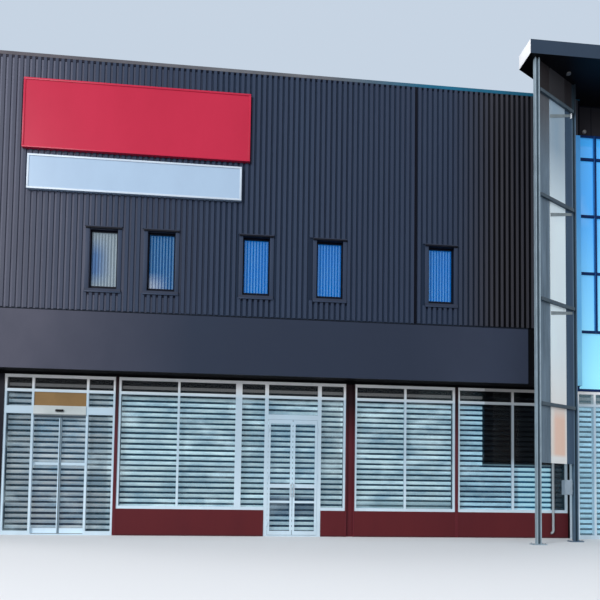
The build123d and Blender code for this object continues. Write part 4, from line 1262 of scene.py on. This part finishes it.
def makeHandles():
    # a slim pull handle on the meeting edge of each swing leaf, outside and inside
    for word, edge, way in (("left", 1, -1), ("right", 0, 1)):
        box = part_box("swing_leaf_" + word)
        x = box[edge].x + way * handles["fromEdge"]
        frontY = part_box("door_frame")[1].y - handles["leafDepth"]
        shape = bmesh.new()
        for face, out in ((frontY, -1), (box[1].y, 1)):
            bar = face + out * handles["out"]
            addRod(shape, (x, bar, handles["low"] - handles["past"]),
                   (x, bar, handles["high"] + handles["past"]), handles["radius"], 12)
            for level in (handles["low"], handles["high"]):
                addRod(shape, (x, face, level), (x, bar, level), handles["armRadius"], 12)
        makePiece(word + "Handles", meshFrom(shape), steelFitting,
                  body="swing_" + word, smoothAngle=40)


seams = {"pitch": 1.0, "width": 0.06, "height": 0.008, "start": 0.5, "front": 1.2, "back": 0.02}


def makeRoofSeams():
    # lapped seams of the roof sheet
    low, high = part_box("roof_deck")
    start = low.x + seams["start"]
    lap = meshOf(addBlock, (start, low.y + seams["front"], high.z),
                 (start + seams["width"], high.y - seams["back"], high.z + seams["height"]))
    laps = repeated(lap, int((high.x - low.x) / seams["pitch"]), (seams["pitch"], 0, 0),
                    roofSheet)
    makePiece("roofSeams", laps, roofSheet)


makeSensorCover()
makeHandles()
makeRoofSeams()
print("stage: fittings")


# Floor, light and camera

studio = {"floorRadius": 90, "floorBounce": (120, 122, 126), "floorSeen": (226, 228, 230),
          "floorGloss": 0.9, "floorShine": 0.1, "skyLight": (0.92, 0.95, 1.0, 1),
          "skySeen": (208, 222, 238), "skyPower": 0.9}


def makeFloor():
    shape = bmesh.new()
    bmesh.ops.create_circle(shape, cap_ends=True, radius=studio["floorRadius"], segments=96)
    finish, tree, shader = newFinish("floorPaper")
    rays = addNode(tree, "ShaderNodeLightPath").outputs
    seen = calc(tree, "ADD", rays["Is Camera Ray"], rays["Is Glossy Ray"], clamp=True)
    seen = calc(tree, "ADD", seen, rays["Is Transmission Ray"], clamp=True)
    shade = blend(tree, seen, tone(*studio["floorBounce"]), tone(*studio["floorSeen"]))
    setInputs(tree, shader, {"Base Color": shade, "Roughness": studio["floorGloss"],
                             "Specular IOR Level": studio["floorShine"]})
    floor = linked("studioFloor", meshFrom(shape, "studioFloor", outwards=False))
    floor.data.materials.append(finish)


def makeWorld():
    world = bpy.data.worlds.new("studioWorld")
    bpy.context.scene.world = world
    world.use_nodes = True
    tree = world.node_tree
    seen = addNode(tree, "ShaderNodeLightPath").outputs["Is Camera Ray"]
    shade = blend(tree, seen, studio["skyLight"], tone(*studio["skySeen"]))
    setInputs(tree, tree.nodes["Background"], {"Color": shade, "Strength": studio["skyPower"]})


softLights = {
    "frontLeft": {"place": (-30, -40, 22), "aim": (0, -5, 4), "size": 18, "power": 12500},
    "left": {"place": (-38, 8, 14), "aim": (0, 0, 5), "size": 12, "power": 3600},
    "right": {"place": (40, 4, 16), "aim": (0, 0, 5), "size": 12, "power": 3000},
    "back": {"place": (8, 40, 20), "aim": (0, 5, 5), "size": 16, "power": 4200},
}


def makeLights():
    for name, light in softLights.items():
        lamp = bpy.data.lights.new(name, "AREA")
        lamp.shape = "DISK"
        lamp.size = light["size"]
        lamp.energy = light["power"]
        holder = linked(name, lamp)
        holder.location = light["place"]
        aim = Vector(light["aim"]) - Vector(light["place"])
        holder.rotation_euler = aim.to_track_quat("-Z", "Y").to_euler()


view = {
    "place": (-2.833, -18.9535, 1.193),
    "turn": -5.557,  # this, the tilt and the roll are in degrees
    "tilt": 2.716,
    "roll": 0.828,
    "lens": 36,
    "sensor": 36,
    "shiftUp": 0.2619,
    "farthest": 400,
}


def makeCamera():
    turn, tilt, roll = (math.radians(view[word]) for word in ("turn", "tilt", "roll"))
    up = Vector((0, 0, 1))
    right = Vector((math.cos(turn), math.sin(turn), 0))
    ahead = Vector((-math.sin(turn), math.cos(turn), 0))
    looking = ahead * math.cos(tilt) + up * math.sin(tilt)
    lifted = up * math.cos(tilt) - ahead * math.sin(tilt)
    across = right * math.cos(roll) + lifted * math.sin(roll)
    upwards = lifted * math.cos(roll) - right * math.sin(roll)
    data = bpy.data.cameras.new("photoCamera")
    data.sensor_width = view["sensor"]
    data.lens = view["lens"]
    data.shift_y = view["shiftUp"]
    data.clip_end = view["farthest"]
    camera = linked("photoCamera", data)
    rotation = Matrix((across, upwards, -looking)).transposed().to_4x4()
    camera.matrix_world = Matrix.Translation(view["place"]) @ rotation
    bpy.context.scene.camera = camera


makeFloor()
makeWorld()
makeLights()
makeCamera()
print("stage: floor, light and camera")
